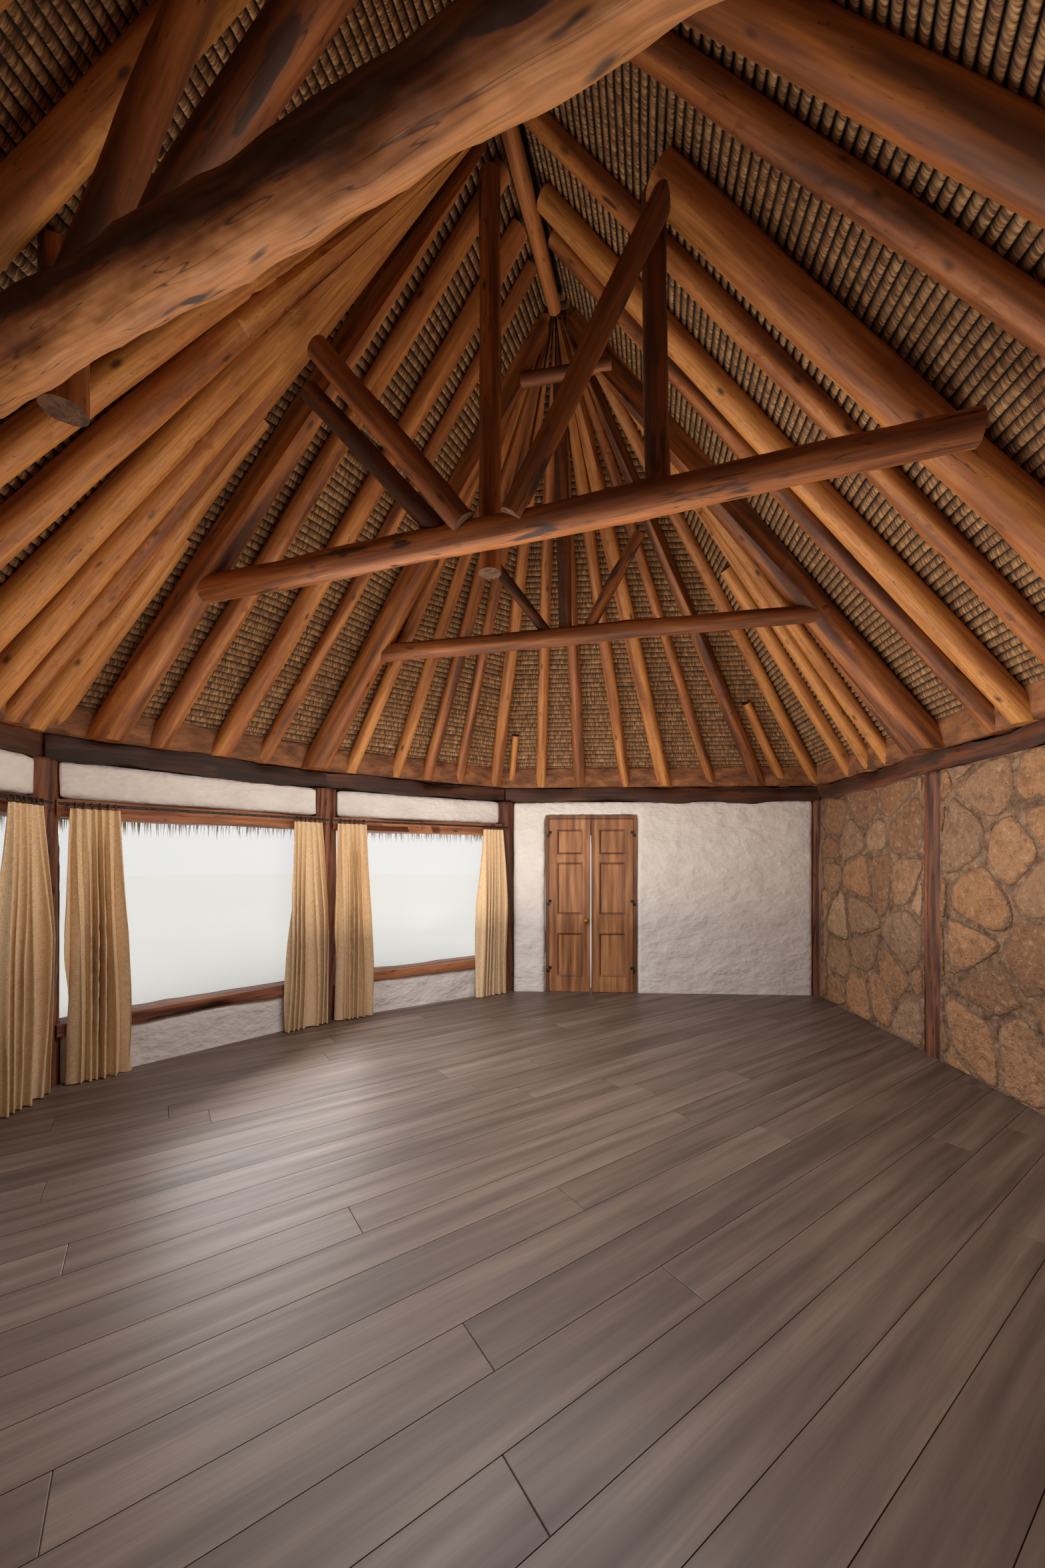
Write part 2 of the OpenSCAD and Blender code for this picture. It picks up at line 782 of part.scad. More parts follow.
// Iron rods over the windows, on brackets that meet the lintels clear of the corner posts
rod_out = -88;
bracket_d = 14;
bracket_end = 120;
bracket_reach = -15;
// How far from a corner a rod ends: the sharpest corner needs more room for the next rod
function rod_end(i) = i % len(corners) == 0 ? 60 : 24;
module curtain_rods() {
    z = floor_z + rod_h;
    color(iron)
        for (i = window_sides) {
            s1 = side_length(i) - rod_end(i + 1);
            pole(raise(on_side(i, rod_end(i), rod_out), z), raise(on_side(i, s1, rod_out), z), rod_d, rod_d);
            for (s = [bracket_end, side_length(i) - bracket_end])
                pole(raise(on_side(i, s, rod_out), z), raise(on_side(i, s, bracket_reach), z), bracket_d, bracket_d);
        }
}

// A curtain hangs in folds at each end of a window, from just under the rod to the floor
folds = 6;
fold_depth = 34;
cloth_t = 12;
fold_steps = 48;
curtain_drop = 36;
curtain_lift = 4;
curtain_end = 6;
function fold_out(t) = rod_out + fold_depth * sin(360 * folds * t);
module curtains() {
    color(linen)
        for (i = window_sides)
            for (s = [rod_end(i) + curtain_end, side_length(i) - rod_end(i + 1) - curtain_end - curtain_w])
                translate([0, 0, floor_z + curtain_lift])
                    linear_extrude(rod_h - curtain_drop - curtain_lift)
                        polygon(concat(
                            [for (k = [0 : fold_steps])
                                on_side(i, s + curtain_w * k / fold_steps, fold_out(k / fold_steps) - cloth_t / 2)],
                            [for (k = [fold_steps : -1 : 0])
                                on_side(i, s + curtain_w * k / fold_steps, fold_out(k / fold_steps) + cloth_t / 2)]));
}

floor_slab();  // floor
threshold();
low_walls();
window_sills();
window_glass();
window_lintels();
window_heads();
wall_posts();
end_wall_left();
end_wall_right();
end_wall_over_door();
color(stone) whole_wall(3);  // stone_wall_far
color(stone) whole_wall(4);  // stone_wall_near
color(plaster) whole_wall(5);  // near_end_wall
ring_beam();
mud_fillet();
tie_beam_near();
tie_beam_middle();
tie_beam_far();
truss_posts();
truss_struts();
principal_rafters();
peeled_truss_poles();
ridge_pole();
rafters_left();
rafters_right();
rafters_far();
rafters_near();
reed_ceiling();
thatch(0);  // thatch_window_far
thatch(1);  // thatch_bay_far
thatch(2);  // thatch_end_far
thatch(3);  // thatch_stone_far
thatch(4);  // thatch_stone_near
thatch(5);  // thatch_end_near
thatch(6);  // thatch_bay_near
thatch(7);  // thatch_window_near
ridge_cap();
door_frame();
door_leaf_left();
door_leaf_right();
door_knob();
hinge_pins();
leaf_hinges_left();
leaf_hinges_right();
curtain_rods();
curtains();
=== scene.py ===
"""Looks of the thatched hut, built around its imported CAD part. Metres, +Z up."""
import math
import random

import bmesh
import bpy
import numpy as np
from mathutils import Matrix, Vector, noise


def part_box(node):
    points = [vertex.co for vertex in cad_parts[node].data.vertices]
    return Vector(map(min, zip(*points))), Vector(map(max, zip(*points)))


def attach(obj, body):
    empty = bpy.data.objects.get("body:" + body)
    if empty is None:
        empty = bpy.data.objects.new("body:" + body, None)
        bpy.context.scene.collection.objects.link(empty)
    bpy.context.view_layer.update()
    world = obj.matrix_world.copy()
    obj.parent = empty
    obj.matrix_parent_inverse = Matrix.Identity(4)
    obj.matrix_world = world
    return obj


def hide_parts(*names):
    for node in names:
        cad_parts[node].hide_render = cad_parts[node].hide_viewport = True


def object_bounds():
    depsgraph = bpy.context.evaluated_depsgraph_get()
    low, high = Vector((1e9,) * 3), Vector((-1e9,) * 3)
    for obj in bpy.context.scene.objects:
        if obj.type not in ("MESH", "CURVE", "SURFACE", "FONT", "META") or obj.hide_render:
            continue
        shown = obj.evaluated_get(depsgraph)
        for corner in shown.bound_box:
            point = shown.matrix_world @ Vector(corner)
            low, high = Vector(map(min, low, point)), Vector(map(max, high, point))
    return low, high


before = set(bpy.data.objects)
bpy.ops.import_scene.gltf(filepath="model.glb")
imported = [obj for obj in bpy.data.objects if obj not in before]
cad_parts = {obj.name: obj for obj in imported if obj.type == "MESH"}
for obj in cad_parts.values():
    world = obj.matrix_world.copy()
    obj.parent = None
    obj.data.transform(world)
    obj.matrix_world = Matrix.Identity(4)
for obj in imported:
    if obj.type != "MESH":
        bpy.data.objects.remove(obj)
cad_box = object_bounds()

# Plan of the room, taken at the inside faces of its walls
WINDOW_SIDE_X = 3.15
STONE_SIDE_X = 3.31
BAY_CORNER = (2.36, 1.84)
END_LEFT = (1.13, 3.44)
END_RIGHT = (2.29, 4.34)
STONE_WALL_T = 0.35
POST_D = 0.25
STONE_POST_S = 1.86

# Levels, and the roof
FLOOR_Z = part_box("floor")[1][2]
BEAM_Z, BEAM_TOP_Z = (corner[2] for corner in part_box("ring_beam"))
FOOT_Z = FLOOR_Z + 2.43
RIDGE_Z = FLOOR_Z + 5.64
RIDGE_HALF = 1.36
MIDDLE_Y = 0.29
CEILING_LIFT = 0.095
THATCH_LIFT = 0.135
THATCH_T = 0.36
EAVES_SHARE = 0.21
EAVES_TOP_SHARE = 0.265
RIDGE_SHARE = 0.985
THATCH_COURSES = [0.82, 0.655, 0.49, 0.325, 0.16, 0, -0.13]
COURSE_STEP = 0.024
RIDGE_X = -(STONE_SIDE_X - WINDOW_SIDE_X) * (1 + EAVES_TOP_SHARE) / 2
RIDGE_STOPS = [
    [(0, MIDDLE_Y), (0.15, MIDDLE_Y), (0.93, RIDGE_HALF), (1, RIDGE_HALF)],
    [(0, RIDGE_HALF), (1, RIDGE_HALF)],
    [(0, RIDGE_HALF), (1, RIDGE_HALF)],
    [(0, RIDGE_HALF), (0.43, RIDGE_HALF), (0.56, 0.9), (0.7, MIDDLE_Y), (0.81, 0), (1, -0.33)],
    [(0, -0.33), (0.57, -RIDGE_HALF), (1, -RIDGE_HALF)],
    [(0, -RIDGE_HALF), (1, -RIDGE_HALF)],
    [(0, -RIDGE_HALF), (1, -0.9)],
    [(0, -0.9), (0.16, -0.56), (0.27, MIDDLE_Y), (1, MIDDLE_Y)]]
STONE_SIDES = (3, 4)
WINDOW_SIDES = (0, 1, 6, 7)

# The photograph's camera, with its place counted from the middle of the ridge on the floor
PHOTO_H = 2352
FOCAL_PX = 800
HORIZON_Y = 1292
SENSOR_MM = 36
EYE = (0.97, -2.39, 1.51)
EYE_TURN = 18


def room_corners():
    """Corners in plan, clockwise from the middle of the window side."""
    far = [(-WINDOW_SIDE_X, 0), (-BAY_CORNER[0], BAY_CORNER[1]), (-END_LEFT[0], END_LEFT[1]),
           END_RIGHT, (STONE_SIDE_X, 0)]
    near = [(x, -y) for x, y in far[3:0:-1]]
    return [Vector((RIDGE_X + x, y, 0)) for x, y in far + near]


CORNERS = room_corners()
SIDES = len(CORNERS)


def corner(i):
    return CORNERS[i % SIDES]


def along(i):
    return (corner(i + 1) - corner(i)).normalized()


def outward(i):
    a = along(i)
    return Vector((-a.y, a.x, 0))


def side_length(i):
    return (corner(i + 1) - corner(i)).length


def on_side(i, s, out=0.0, z=0.0):
    point = corner(i) + along(i) * s + outward(i) * out
    return Vector((point.x, point.y, z))


def corner_out(i, out):
    """Where the lines of two neighbouring sides cross when both are moved outward."""
    a, b = outward(i - 1), outward(i)
    det = a.x * b.y - a.y * b.x
    return corner(i) + Vector((out * (b.y - a.y), out * (a.x - b.x), 0)) / det


def lookup(x, table):
    for (x0, y0), (x1, y1) in zip(table, table[1:]):
        if x <= x1:
            return y0 + (y1 - y0) * (x - x0) / (x1 - x0)
    return table[-1][1]


def roof_at(i, f, share, lift=0.0):
    """A point of the roof over side i, as in the part: share is 0 at the wall and 1 at the ridge."""
    i = i % SIDES
    foot = corner(i).lerp(corner(i + 1), f)
    stops = RIDGE_STOPS[i]
    stop = lookup(f, stops) if share >= 0 else stops[0][1] * (1 - f) + stops[-1][1] * f
    point = foot + (Vector((RIDGE_X, stop, 0)) - foot) * share
    return Vector((point.x, point.y, FOOT_Z + (RIDGE_Z - FOOT_Z) * share + lift))


# Materials


def linear(colour):
    """Linear colour from three display values of 0 to 255; anything else stays as it is."""
    def channel(value):
        value /= 255
        return value / 12.92 if value <= 0.04045 else ((value + 0.055) / 1.055) ** 2.4
    if isinstance(colour, tuple) and len(colour) == 3:
        return tuple(channel(value) for value in colour) + (1.0,)
    return colour


class Shader:
    """A node material, with short calls for the nodes used here."""

    def __init__(self, name, roughness=0.7, **sockets):
        self.material = bpy.data.materials.new(name)
        self.material.use_nodes = True
        self.tree = self.material.node_tree
        self.surface = self.tree.nodes["Principled BSDF"]
        self.surface.inputs["Roughness"].default_value = roughness
        for socket, value in sockets.items():
            self.surface.inputs[socket.replace("_", " ")].default_value = value

    def put(self, socket, value):
        if isinstance(value, bpy.types.NodeSocket):
            self.tree.links.new(value, socket)
        else:
            socket.default_value = value

    def node(self, kind, inputs, **settings):
        node = self.tree.nodes.new("ShaderNode" + kind)
        for name, value in settings.items():
            setattr(node, name, value)
        for name, value in inputs.items():
            self.put(node.inputs[name], value)
        return node

    def place(self):
        return self.node("TexCoord", {}).outputs["Object"]

    def attribute(self, name, output="Vector"):
        return self.node("Attribute", {}, attribute_name=name).outputs[output]

    def scaled(self, vector, x, y, z):
        return self.node("Mapping", {"Vector": vector, "Scale": (x, y, z)}).outputs[0]

    def noise(self, vector, scale=1.0, detail=3.0, roughness=0.5):
        return self.node("TexNoise", {"Vector": vector, "Scale": scale, "Detail": detail,
                                      "Roughness": roughness}).outputs["Fac"]

    def cells(self, vector, scale):
        return self.node("TexVoronoi", {"Vector": vector, "Scale": scale}).outputs["Distance"]

    def span(self, value, low, high, to_low=0.0, to_high=1.0):
        return self.node("MapRange", {"Value": value, "From Min": low, "From Max": high,
                                      "To Min": to_low, "To Max": to_high}).outputs["Result"]

    def math(self, operation, a, b=0.0):
        node = self.node("Math", {}, operation=operation)
        self.put(node.inputs[0], a)
        self.put(node.inputs[1], b)
        return node.outputs[0]

    def ramp(self, value, *stops):
        node = self.node("ValToRGB", {"Fac": value})
        elements = node.color_ramp.elements
        while len(elements) < len(stops):
            elements.new(0.5)
        for element, (position, colour) in zip(elements, stops):
            element.position = position
            element.color = linear(colour)
        return node.outputs["Color"]

    def mix(self, factor, a, b):
        node = self.node("Mix", {}, data_type="RGBA")
        self.put(node.inputs[0], factor)
        self.put(node.inputs[6], linear(a))
        self.put(node.inputs[7], linear(b))
        return node.outputs[2]

    def finish(self, colour, height=None, distance=0.002, strength=1.0, roughness=None):
        self.put(self.surface.inputs["Base Color"], colour)
        if height is not None:
            bump = self.node("Bump", {"Height": height, "Distance": distance, "Strength": strength})
            self.put(self.surface.inputs["Normal"], bump.outputs[0])
        if roughness is not None:
            self.put(self.surface.inputs["Roughness"], roughness)
        return self.material


def log_wood(name, light, middle, dark, bark_share=0.35, roughness=0.5, crack=0.004, hewn=0.0):
    """Peeled timber: fibres along the log, knots, cracks and what is left of the bark."""
    s = Shader(name, roughness)
    grain = s.attribute("grain")
    tone = s.attribute("tone", "Fac")
    fibres = s.noise(s.scaled(grain, 100, 100, 5), detail=1)
    streaks = s.noise(s.scaled(grain, 15, 15, 1.1), detail=2)
    colour = s.ramp(s.math("ADD", streaks, s.span(tone, 0, 1, -0.2, 0.24)),
                    (0.26, dark), (0.48, middle), (0.74, light))
    colour = s.mix(s.span(fibres, 0.35, 0.75, 0, 0.4), colour, dark)
    bark = s.noise(s.scaled(grain, 8, 8, 1.6), detail=3, roughness=0.65)
    colour = s.mix(s.span(bark, bark_share, bark_share - 0.04), colour, (66, 42, 30))
    knots = s.span(s.cells(s.scaled(grain, 8, 8, 3.2), 1.0), 0.14, 0.05)
    colour = s.mix(s.math("MULTIPLY", knots, 0.85), colour, (52, 30, 18))
    cracks = s.noise(s.scaled(grain, 34, 34, 1.2), detail=1)
    cracks = s.span(s.math("ABSOLUTE", s.math("SUBTRACT", cracks, 0.5)), crack, 0.0)
    colour = s.mix(s.math("MULTIPLY", cracks, 0.8), colour, (36, 20, 13))
    height = streaks
    if hewn:
        marks = s.noise(s.scaled(grain, 17, 17, 12), detail=1)
        height = s.math("ADD", height, s.math("MULTIPLY", marks, hewn))
    sheen = s.span(streaks, 0.2, 0.8, roughness + 0.12, roughness - 0.08)
    return s.finish(colour, height, 0.005, roughness=sheen)


def end_grain():
    s = Shader("end_grain", 0.85)
    place = s.place()
    rings = s.cells(place, 9)
    rings = s.math("FRACT", s.math("MULTIPLY", rings, 14))
    colour = s.mix(s.span(rings, 0.2, 0.9), (112, 74, 46), (76, 48, 30))
    colour = s.mix(s.span(s.noise(place, 30, 4), 0.45, 0.65), colour, (58, 38, 26))
    return s.finish(colour, rings, 0.001)


def reed():
    """Rolls of grass bound with strands that run across them, painted darker towards each roll's edges
    as shade in the gaps between rolls.
    """
    s = Shader("reed_rolls", 0.78)
    weave = s.attribute("weave")
    strands = s.noise(s.scaled(weave, 130, 12, 1), detail=1, roughness=0.6)
    broad = s.noise(s.scaled(weave, 2.6, 1.2, 1), detail=2)
    roll_rise_for_painted_shade = s.attribute("belly", "Fac")
    colour = s.ramp(strands, (0.3, (78, 52, 32)), (0.5, (150, 108, 68)),
                    (0.68, (204, 162, 112)))
    colour = s.mix(s.span(broad, 0.35, 0.7, 0, 0.4), colour, (112, 72, 42))
    # Painted shade: each roll fades to near black towards its edges, standing in for the shadow in the
    # gaps between rolls.
    colour = s.mix(s.span(roll_rise_for_painted_shade, 0.3, 0.93), (20, 12, 8), colour)
    return s.finish(colour, strands, 0.008)


# Painted shade: the slab behind the rolls is nearly black, so the gaps between rolls read as shadow.
def reed_gap_shade():
    s = Shader("reed_backing_painted_shade", 0.9)
    place = s.place()
    return s.finish(s.mix(s.noise(place, 60, 2), (26, 18, 12), (60, 44, 30)))


def thatch():
    s = Shader("thatch", 0.85)
    place = s.place()
    straw = s.noise(s.scaled(place, 70, 70, 16), detail=3, roughness=0.65)
    broad = s.noise(place, 1.7, 3, 0.6)
    colour = s.ramp(straw, (0.3, (66, 56, 44)), (0.5, (124, 106, 80)),
                    (0.72, (176, 154, 118)))
    colour = s.mix(s.span(broad, 0.35, 0.75, 0, 0.5), colour, (96, 88, 78))
    return s.finish(colour, straw, 0.03)


def straw_blades():
    s = Shader("straw_blades", 0.7)
    tone = s.attribute("tone", "Fac")
    colour = s.ramp(tone, (0.0, (78, 66, 52)), (0.4, (132, 112, 82)),
                    (0.75, (172, 148, 108)), (1.0, (202, 180, 138)))
    broad = s.noise(s.place(), 2.1, 4)
    return s.finish(s.mix(s.span(broad, 0.3, 0.8, 0, 0.5), colour, (104, 94, 80)))


def plaster():
    s = Shader("lime_plaster", 0.88)
    place = s.place()
    trowel = s.noise(s.scaled(place, 4, 4, 6), detail=3, roughness=0.6)
    stain = s.noise(place, 1.1, 2, 0.55)
    colour = s.mix(s.span(trowel, 0.3, 0.75), (228, 222, 216), (242, 238, 233))
    colour = s.mix(s.span(stain, 0.55, 0.85, 0, 0.35), colour, (216, 204, 192))
    return s.finish(colour, trowel, 0.05, 0.9)


MORTAR_MIDDLE = (134, 104, 80)


def mortar():
    s = Shader("wall_mortar", 0.92)
    lumps = s.noise(s.place(), 13, 4, 0.7)
    colour = s.ramp(lumps, (0.32, (82, 58, 42)), (0.5, MORTAR_MIDDLE), (0.72, (178, 146, 116)))
    return s.finish(colour, lumps, 0.05)


def stone():
    """Weathered ochre stones, each with a tone of its own, and mortar smeared over their edges."""
    s = Shader("rubble_stone", 0.88)
    place = s.place()
    tone = s.attribute("tone", "Fac")
    colour = s.ramp(tone, (0.0, (142, 104, 76)), (0.3, (172, 124, 86)),
                    (0.55, (186, 138, 98)), (0.78, (154, 122, 96)), (1.0, (196, 158, 122)))
    mottle = s.noise(place, 7, 4, 0.7)
    colour = s.mix(s.span(mottle, 0.48, 0.7, 0, 0.65), colour, (118, 84, 60))
    pale = s.noise(place, 24, 4, 0.75)
    colour = s.mix(s.span(pale, 0.54, 0.68, 0, 0.6), colour, (214, 178, 138))
    colour = s.mix(s.span(pale, 0.44, 0.34, 0, 0.6), colour, (92, 62, 42))
    smear = s.math("ADD", s.attribute("rim", "Fac"), s.span(mottle, 0.3, 0.7, 0.5, -0.5))
    colour = s.mix(s.span(smear, 0.42, 0.7), colour, MORTAR_MIDDLE)
    return s.finish(colour, s.math("ADD", mottle, s.math("MULTIPLY", pale, 0.5)), 0.06)


def mud():
    s = Shader("mud_fillet", 0.75)
    smear = s.noise(s.scaled(s.place(), 5, 5, 11), detail=4, roughness=0.6)
    colour = s.ramp(smear, (0.3, (84, 50, 30)), (0.52, (132, 84, 50)),
                    (0.75, (170, 112, 70)))
    return s.finish(colour, smear, 0.04)


def planks():
    s = Shader("floor_planks", 0.45)
    grain = s.attribute("grain")
    tone = s.attribute("tone", "Fac")
    fibres = s.noise(s.scaled(grain, 3, 110, 1), detail=3, roughness=0.6)
    figure = s.noise(s.scaled(grain, 0.9, 14, 1), detail=3)
    colour = s.ramp(s.math("ADD", figure, s.span(tone, 0, 1, -0.1, 0.1)),
                    (0.3, (82, 67, 59)), (0.52, (106, 89, 80)), (0.75, (128, 110, 99)))
    colour = s.mix(s.span(fibres, 0.4, 0.7, 0, 0.3), colour, (72, 58, 51))
    return s.finish(colour, roughness=s.span(figure, 0.3, 0.7, 0.52, 0.42))


def plank_joint():
    s = Shader("plank_joint", 0.8)
    return s.finish(s.mix(s.noise(s.place(), 40, 2), (58, 46, 38), (84, 68, 58)))


def door_wood(name, dark, middle, light):
    s = Shader(name, 0.45)
    place = s.place()
    fibres = s.noise(s.scaled(place, 130, 130, 5), detail=2)
    figure = s.noise(s.scaled(place, 17, 17, 1.3), detail=3)
    colour = s.ramp(figure, (0.3, dark), (0.5, middle), (0.7, light))
    colour = s.mix(s.span(fibres, 0.4, 0.7, 0, 0.35), colour, dark)
    return s.finish(colour, roughness=s.span(figure, 0.3, 0.7, 0.52, 0.4))


def glass():
    s = Shader("window_glass", 0.03, Alpha=0.1)
    haze = s.noise(s.place(), 1.5, 3)
    return s.finish(s.mix(haze, (214, 226, 224), (232, 238, 236)))


def metal(name, light, dark, roughness, metallic):
    s = Shader(name, roughness, Metallic=metallic)
    place = s.place()
    wear = s.noise(place, 45, 5, 0.6)
    return s.finish(s.mix(s.span(wear, 0.35, 0.7), dark, light), wear, 0.0006,
                    roughness=s.span(wear, 0.3, 0.7, roughness + 0.12, roughness - 0.06))


def linen():
    s = Shader("linen", 0.9)
    weave = s.attribute("weave")
    threads = s.noise(s.scaled(weave, 300, 24, 1), detail=1)
    cross = s.noise(s.scaled(weave, 24, 300, 1), detail=1)
    woven = s.span(s.math("ADD", threads, cross), 0.8, 1.2)
    # The pale linen colour is raised further to stand in for daylight shining through the curtains:
    # partly the cloth's own colour, partly painted light.
    return s.finish(s.mix(woven, (214, 180, 138), (240, 214, 174)))


def studio(name, colour):
    s = Shader(name, 0.9)
    darker = tuple(0.97 * c for c in colour[:3]) + (1.0,)
    return s.finish(s.mix(s.noise(s.place(), 0.4, 2), colour, darker))


MATERIALS = {
    "pole": log_wood("peeled_poles", (216, 148, 78), (166, 98, 46), (90, 50, 26),
                     0.3, 0.55),
    "truss": log_wood("truss_logs", (186, 114, 56), (130, 72, 32), (66, 36, 18),
                      0.4, 0.6, 0.01),
    "hewn": log_wood("hewn_log", (190, 128, 74), (138, 80, 40), (62, 36, 20),
                     0.4, 0.65, 0.01, 2.6),
    "beam": log_wood("beam_logs", (124, 70, 38), (84, 44, 23), (42, 24, 15),
                     0.42, 0.65, 0.014),
    "post": log_wood("post_trunks", (188, 122, 80), (138, 82, 52), (72, 42, 28),
                     0.34, 0.6, 0.012),
    "end": end_grain(),
    "reed": reed(),
    "reed_gap_shade": reed_gap_shade(),
    "thatch": thatch(),
    "straw": straw_blades(),
    "plaster": plaster(),
    "mortar": mortar(),
    "stone": stone(),
    "mud": mud(),
    "planks": planks(),
    "joint": plank_joint(),
    "door": door_wood("door_wood", (116, 74, 46), (166, 112, 72), (202, 148, 100)),
    # The beads round the sunk panels take a darker wood than the leaves: painted shade at the panels'
    # edges.
    "moulding": door_wood("door_moulding_painted_shade", (82, 52, 34), (122, 80, 52), (154, 106, 70)),
    "door_frame": door_wood("door_frame", (86, 54, 34), (128, 84, 54), (160, 110, 70)),
    "glass": glass(),
    "iron": metal("forged_iron", (84, 80, 78), (44, 40, 38), 0.5, 0.85),
    "brass": metal("worn_brass", (212, 176, 104), (150, 112, 58), 0.3, 1.0),
    "linen": linen(),
    "ring_wood": door_wood("ring_wood", (44, 28, 20), (66, 42, 30), (90, 60, 42)),
}

NODES_IN = {
    "joint": ["floor"],
    "mortar": ["threshold", "stone_wall_far", "stone_wall_near"],
    "glass": ["window_glass"],
    # The slab behind the reed rolls takes the nearly black painted shade for the gaps.
    "reed_gap_shade": ["reed_ceiling"],
    "thatch": ["ridge_cap"] + [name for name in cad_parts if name.startswith("thatch_")],
    "door_frame": ["door_frame"],
    "door": ["door_leaf_left", "door_leaf_right"],
    "brass": ["door_knob"],
    "iron": ["hinge_pins", "leaf_hinges_left", "leaf_hinges_right", "curtain_rods"],
}


def dress_nodes():
    for material, names in NODES_IN.items():
        for name in names:
            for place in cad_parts[name].material_slots:
                place.material = MATERIALS[material]


# Meshes

# The hewn, lit side of the near tie beam, painted lighter than its barked side, whose darkness is
# partly painted shade; the depth of its adze marks and of the splits in the posts
HEWN_AND_LIT_SIDE = Vector((0, 0.75, -0.65))
ADZE_DEPTH = 0.02
SPLIT_DEPTH = 0.026
# Reed rolls from eaves to ridge, straw for each metre of eaves, and on the ridge
ROLLS = 100
BLADES_PER_METRE = 850
FRINGE_PER_METRE = 420
CAP_BLADES = 6500
# Common size of a rubble stone, and how far it may stand out
STONE_SIZE = (0.47, 0.36)
STONE_RISE = 0.026
# Rings of a stone: share of its outline, share of its crown's height, and how much mortar is on it
STONE_RINGS = (
    (1.02, -0.02, 1.0),
    (0.98, 0.25, 0.9),
    (0.93, 0.7, 0.5),
    (0.8, 1.0, 0.15),
    (0.55, 1.05, 0.0),
    (0.25, 1.08, 0.0),
)
# Floor boards
BOARD_W = 0.2
BOARD_T = 0.004
BOARD_JOINT = 0.0025


def linked(name, data):
    """A new object for this data, in the scene."""
    obj = bpy.data.objects.new(name, data)
    bpy.context.collection.objects.link(obj)
    return obj


def add_object(name, mesh, materials, replaced=(), body="hut"):
    obj = linked(name, mesh)
    for material in materials:
        mesh.materials.append(MATERIALS[material])
    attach(obj, body)
    if replaced:
        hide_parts(*replaced)
    return obj


def mesh_of(name, points, faces, smooth=True, **attributes):
    mesh = bpy.data.meshes.new(name)
    mesh.from_pydata(points, [], faces)
    for attribute, values in attributes.items():
        single = isinstance(values[0], float)
        layer = mesh.attributes.new(attribute, "FLOAT" if single else "FLOAT_VECTOR", "POINT")
        flat = np.array(values, dtype=np.float32).ravel()
        layer.data.foreach_set("value" if single else "vector", flat)
    mesh.polygons.foreach_set("use_smooth", [smooth] * len(mesh.polygons))
    mesh.update()
    return mesh


def add_mesh(name, points, faces, material, slot, replaced=(), body="hut", smooth=True, **attributes):
    mesh = mesh_of(name, points, faces, smooth, **attributes)
    return add_object(name, mesh, [material], replaced, body)


def pieces_of(node):
    """The separate solids of a CAD node, each as a bmesh with its flat faces whole."""
    whole = bmesh.new()
    whole.from_mesh(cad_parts[node].data)
    bmesh.ops.remove_doubles(whole, verts=whole.verts, dist=1e-5)
    left = set(whole.faces)
    for start in whole.faces:
        if start not in left:
            continue
        left.remove(start)
        stack = [start]
        found = [start]
        while stack:
            for edge in stack.pop().edges:
                for face in edge.link_faces:
                    if face in left:
                        left.remove(face)
                        found.append(face)
                        stack.append(face)
        piece = bmesh.new()
        copies = {}
        for face in found:
            for vert in face.verts:
                if vert not in copies:
                    copies[vert] = piece.verts.new(vert.co)
            piece.faces.new([copies[vert] for vert in face.verts])
        bmesh.ops.recalc_face_normals(piece, faces=piece.faces)
        bmesh.ops.dissolve_limit(piece, angle_limit=0.01, verts=piece.verts, edges=piece.edges)
        yield piece
    whole.free()


def pole_axes(piece):
    """The direction that a log's faces turn away from, which is its length, and two across it."""
    spread = np.zeros((3, 3))
    for face in piece.faces:
        normal = np.array(face.normal)
        spread += face.calc_area() * np.outer(normal, normal)
    vectors = np.linalg.eigh(spread)[1]
    axis = Vector(vectors[:, 0])
    if axis.z < 0:
        axis = -axis
    first = Vector(vectors[:, 1])
    return first, axis.cross(first), axis


def adze_mark(place):
    """A hewn surface is shallow bowls that meet at ridges."""
    reach = noise.voronoi(Vector((place.x * 9, place.y * 9, place.z * 5.5)))[0][0]
    return min(reach, 0.9) - 0.5


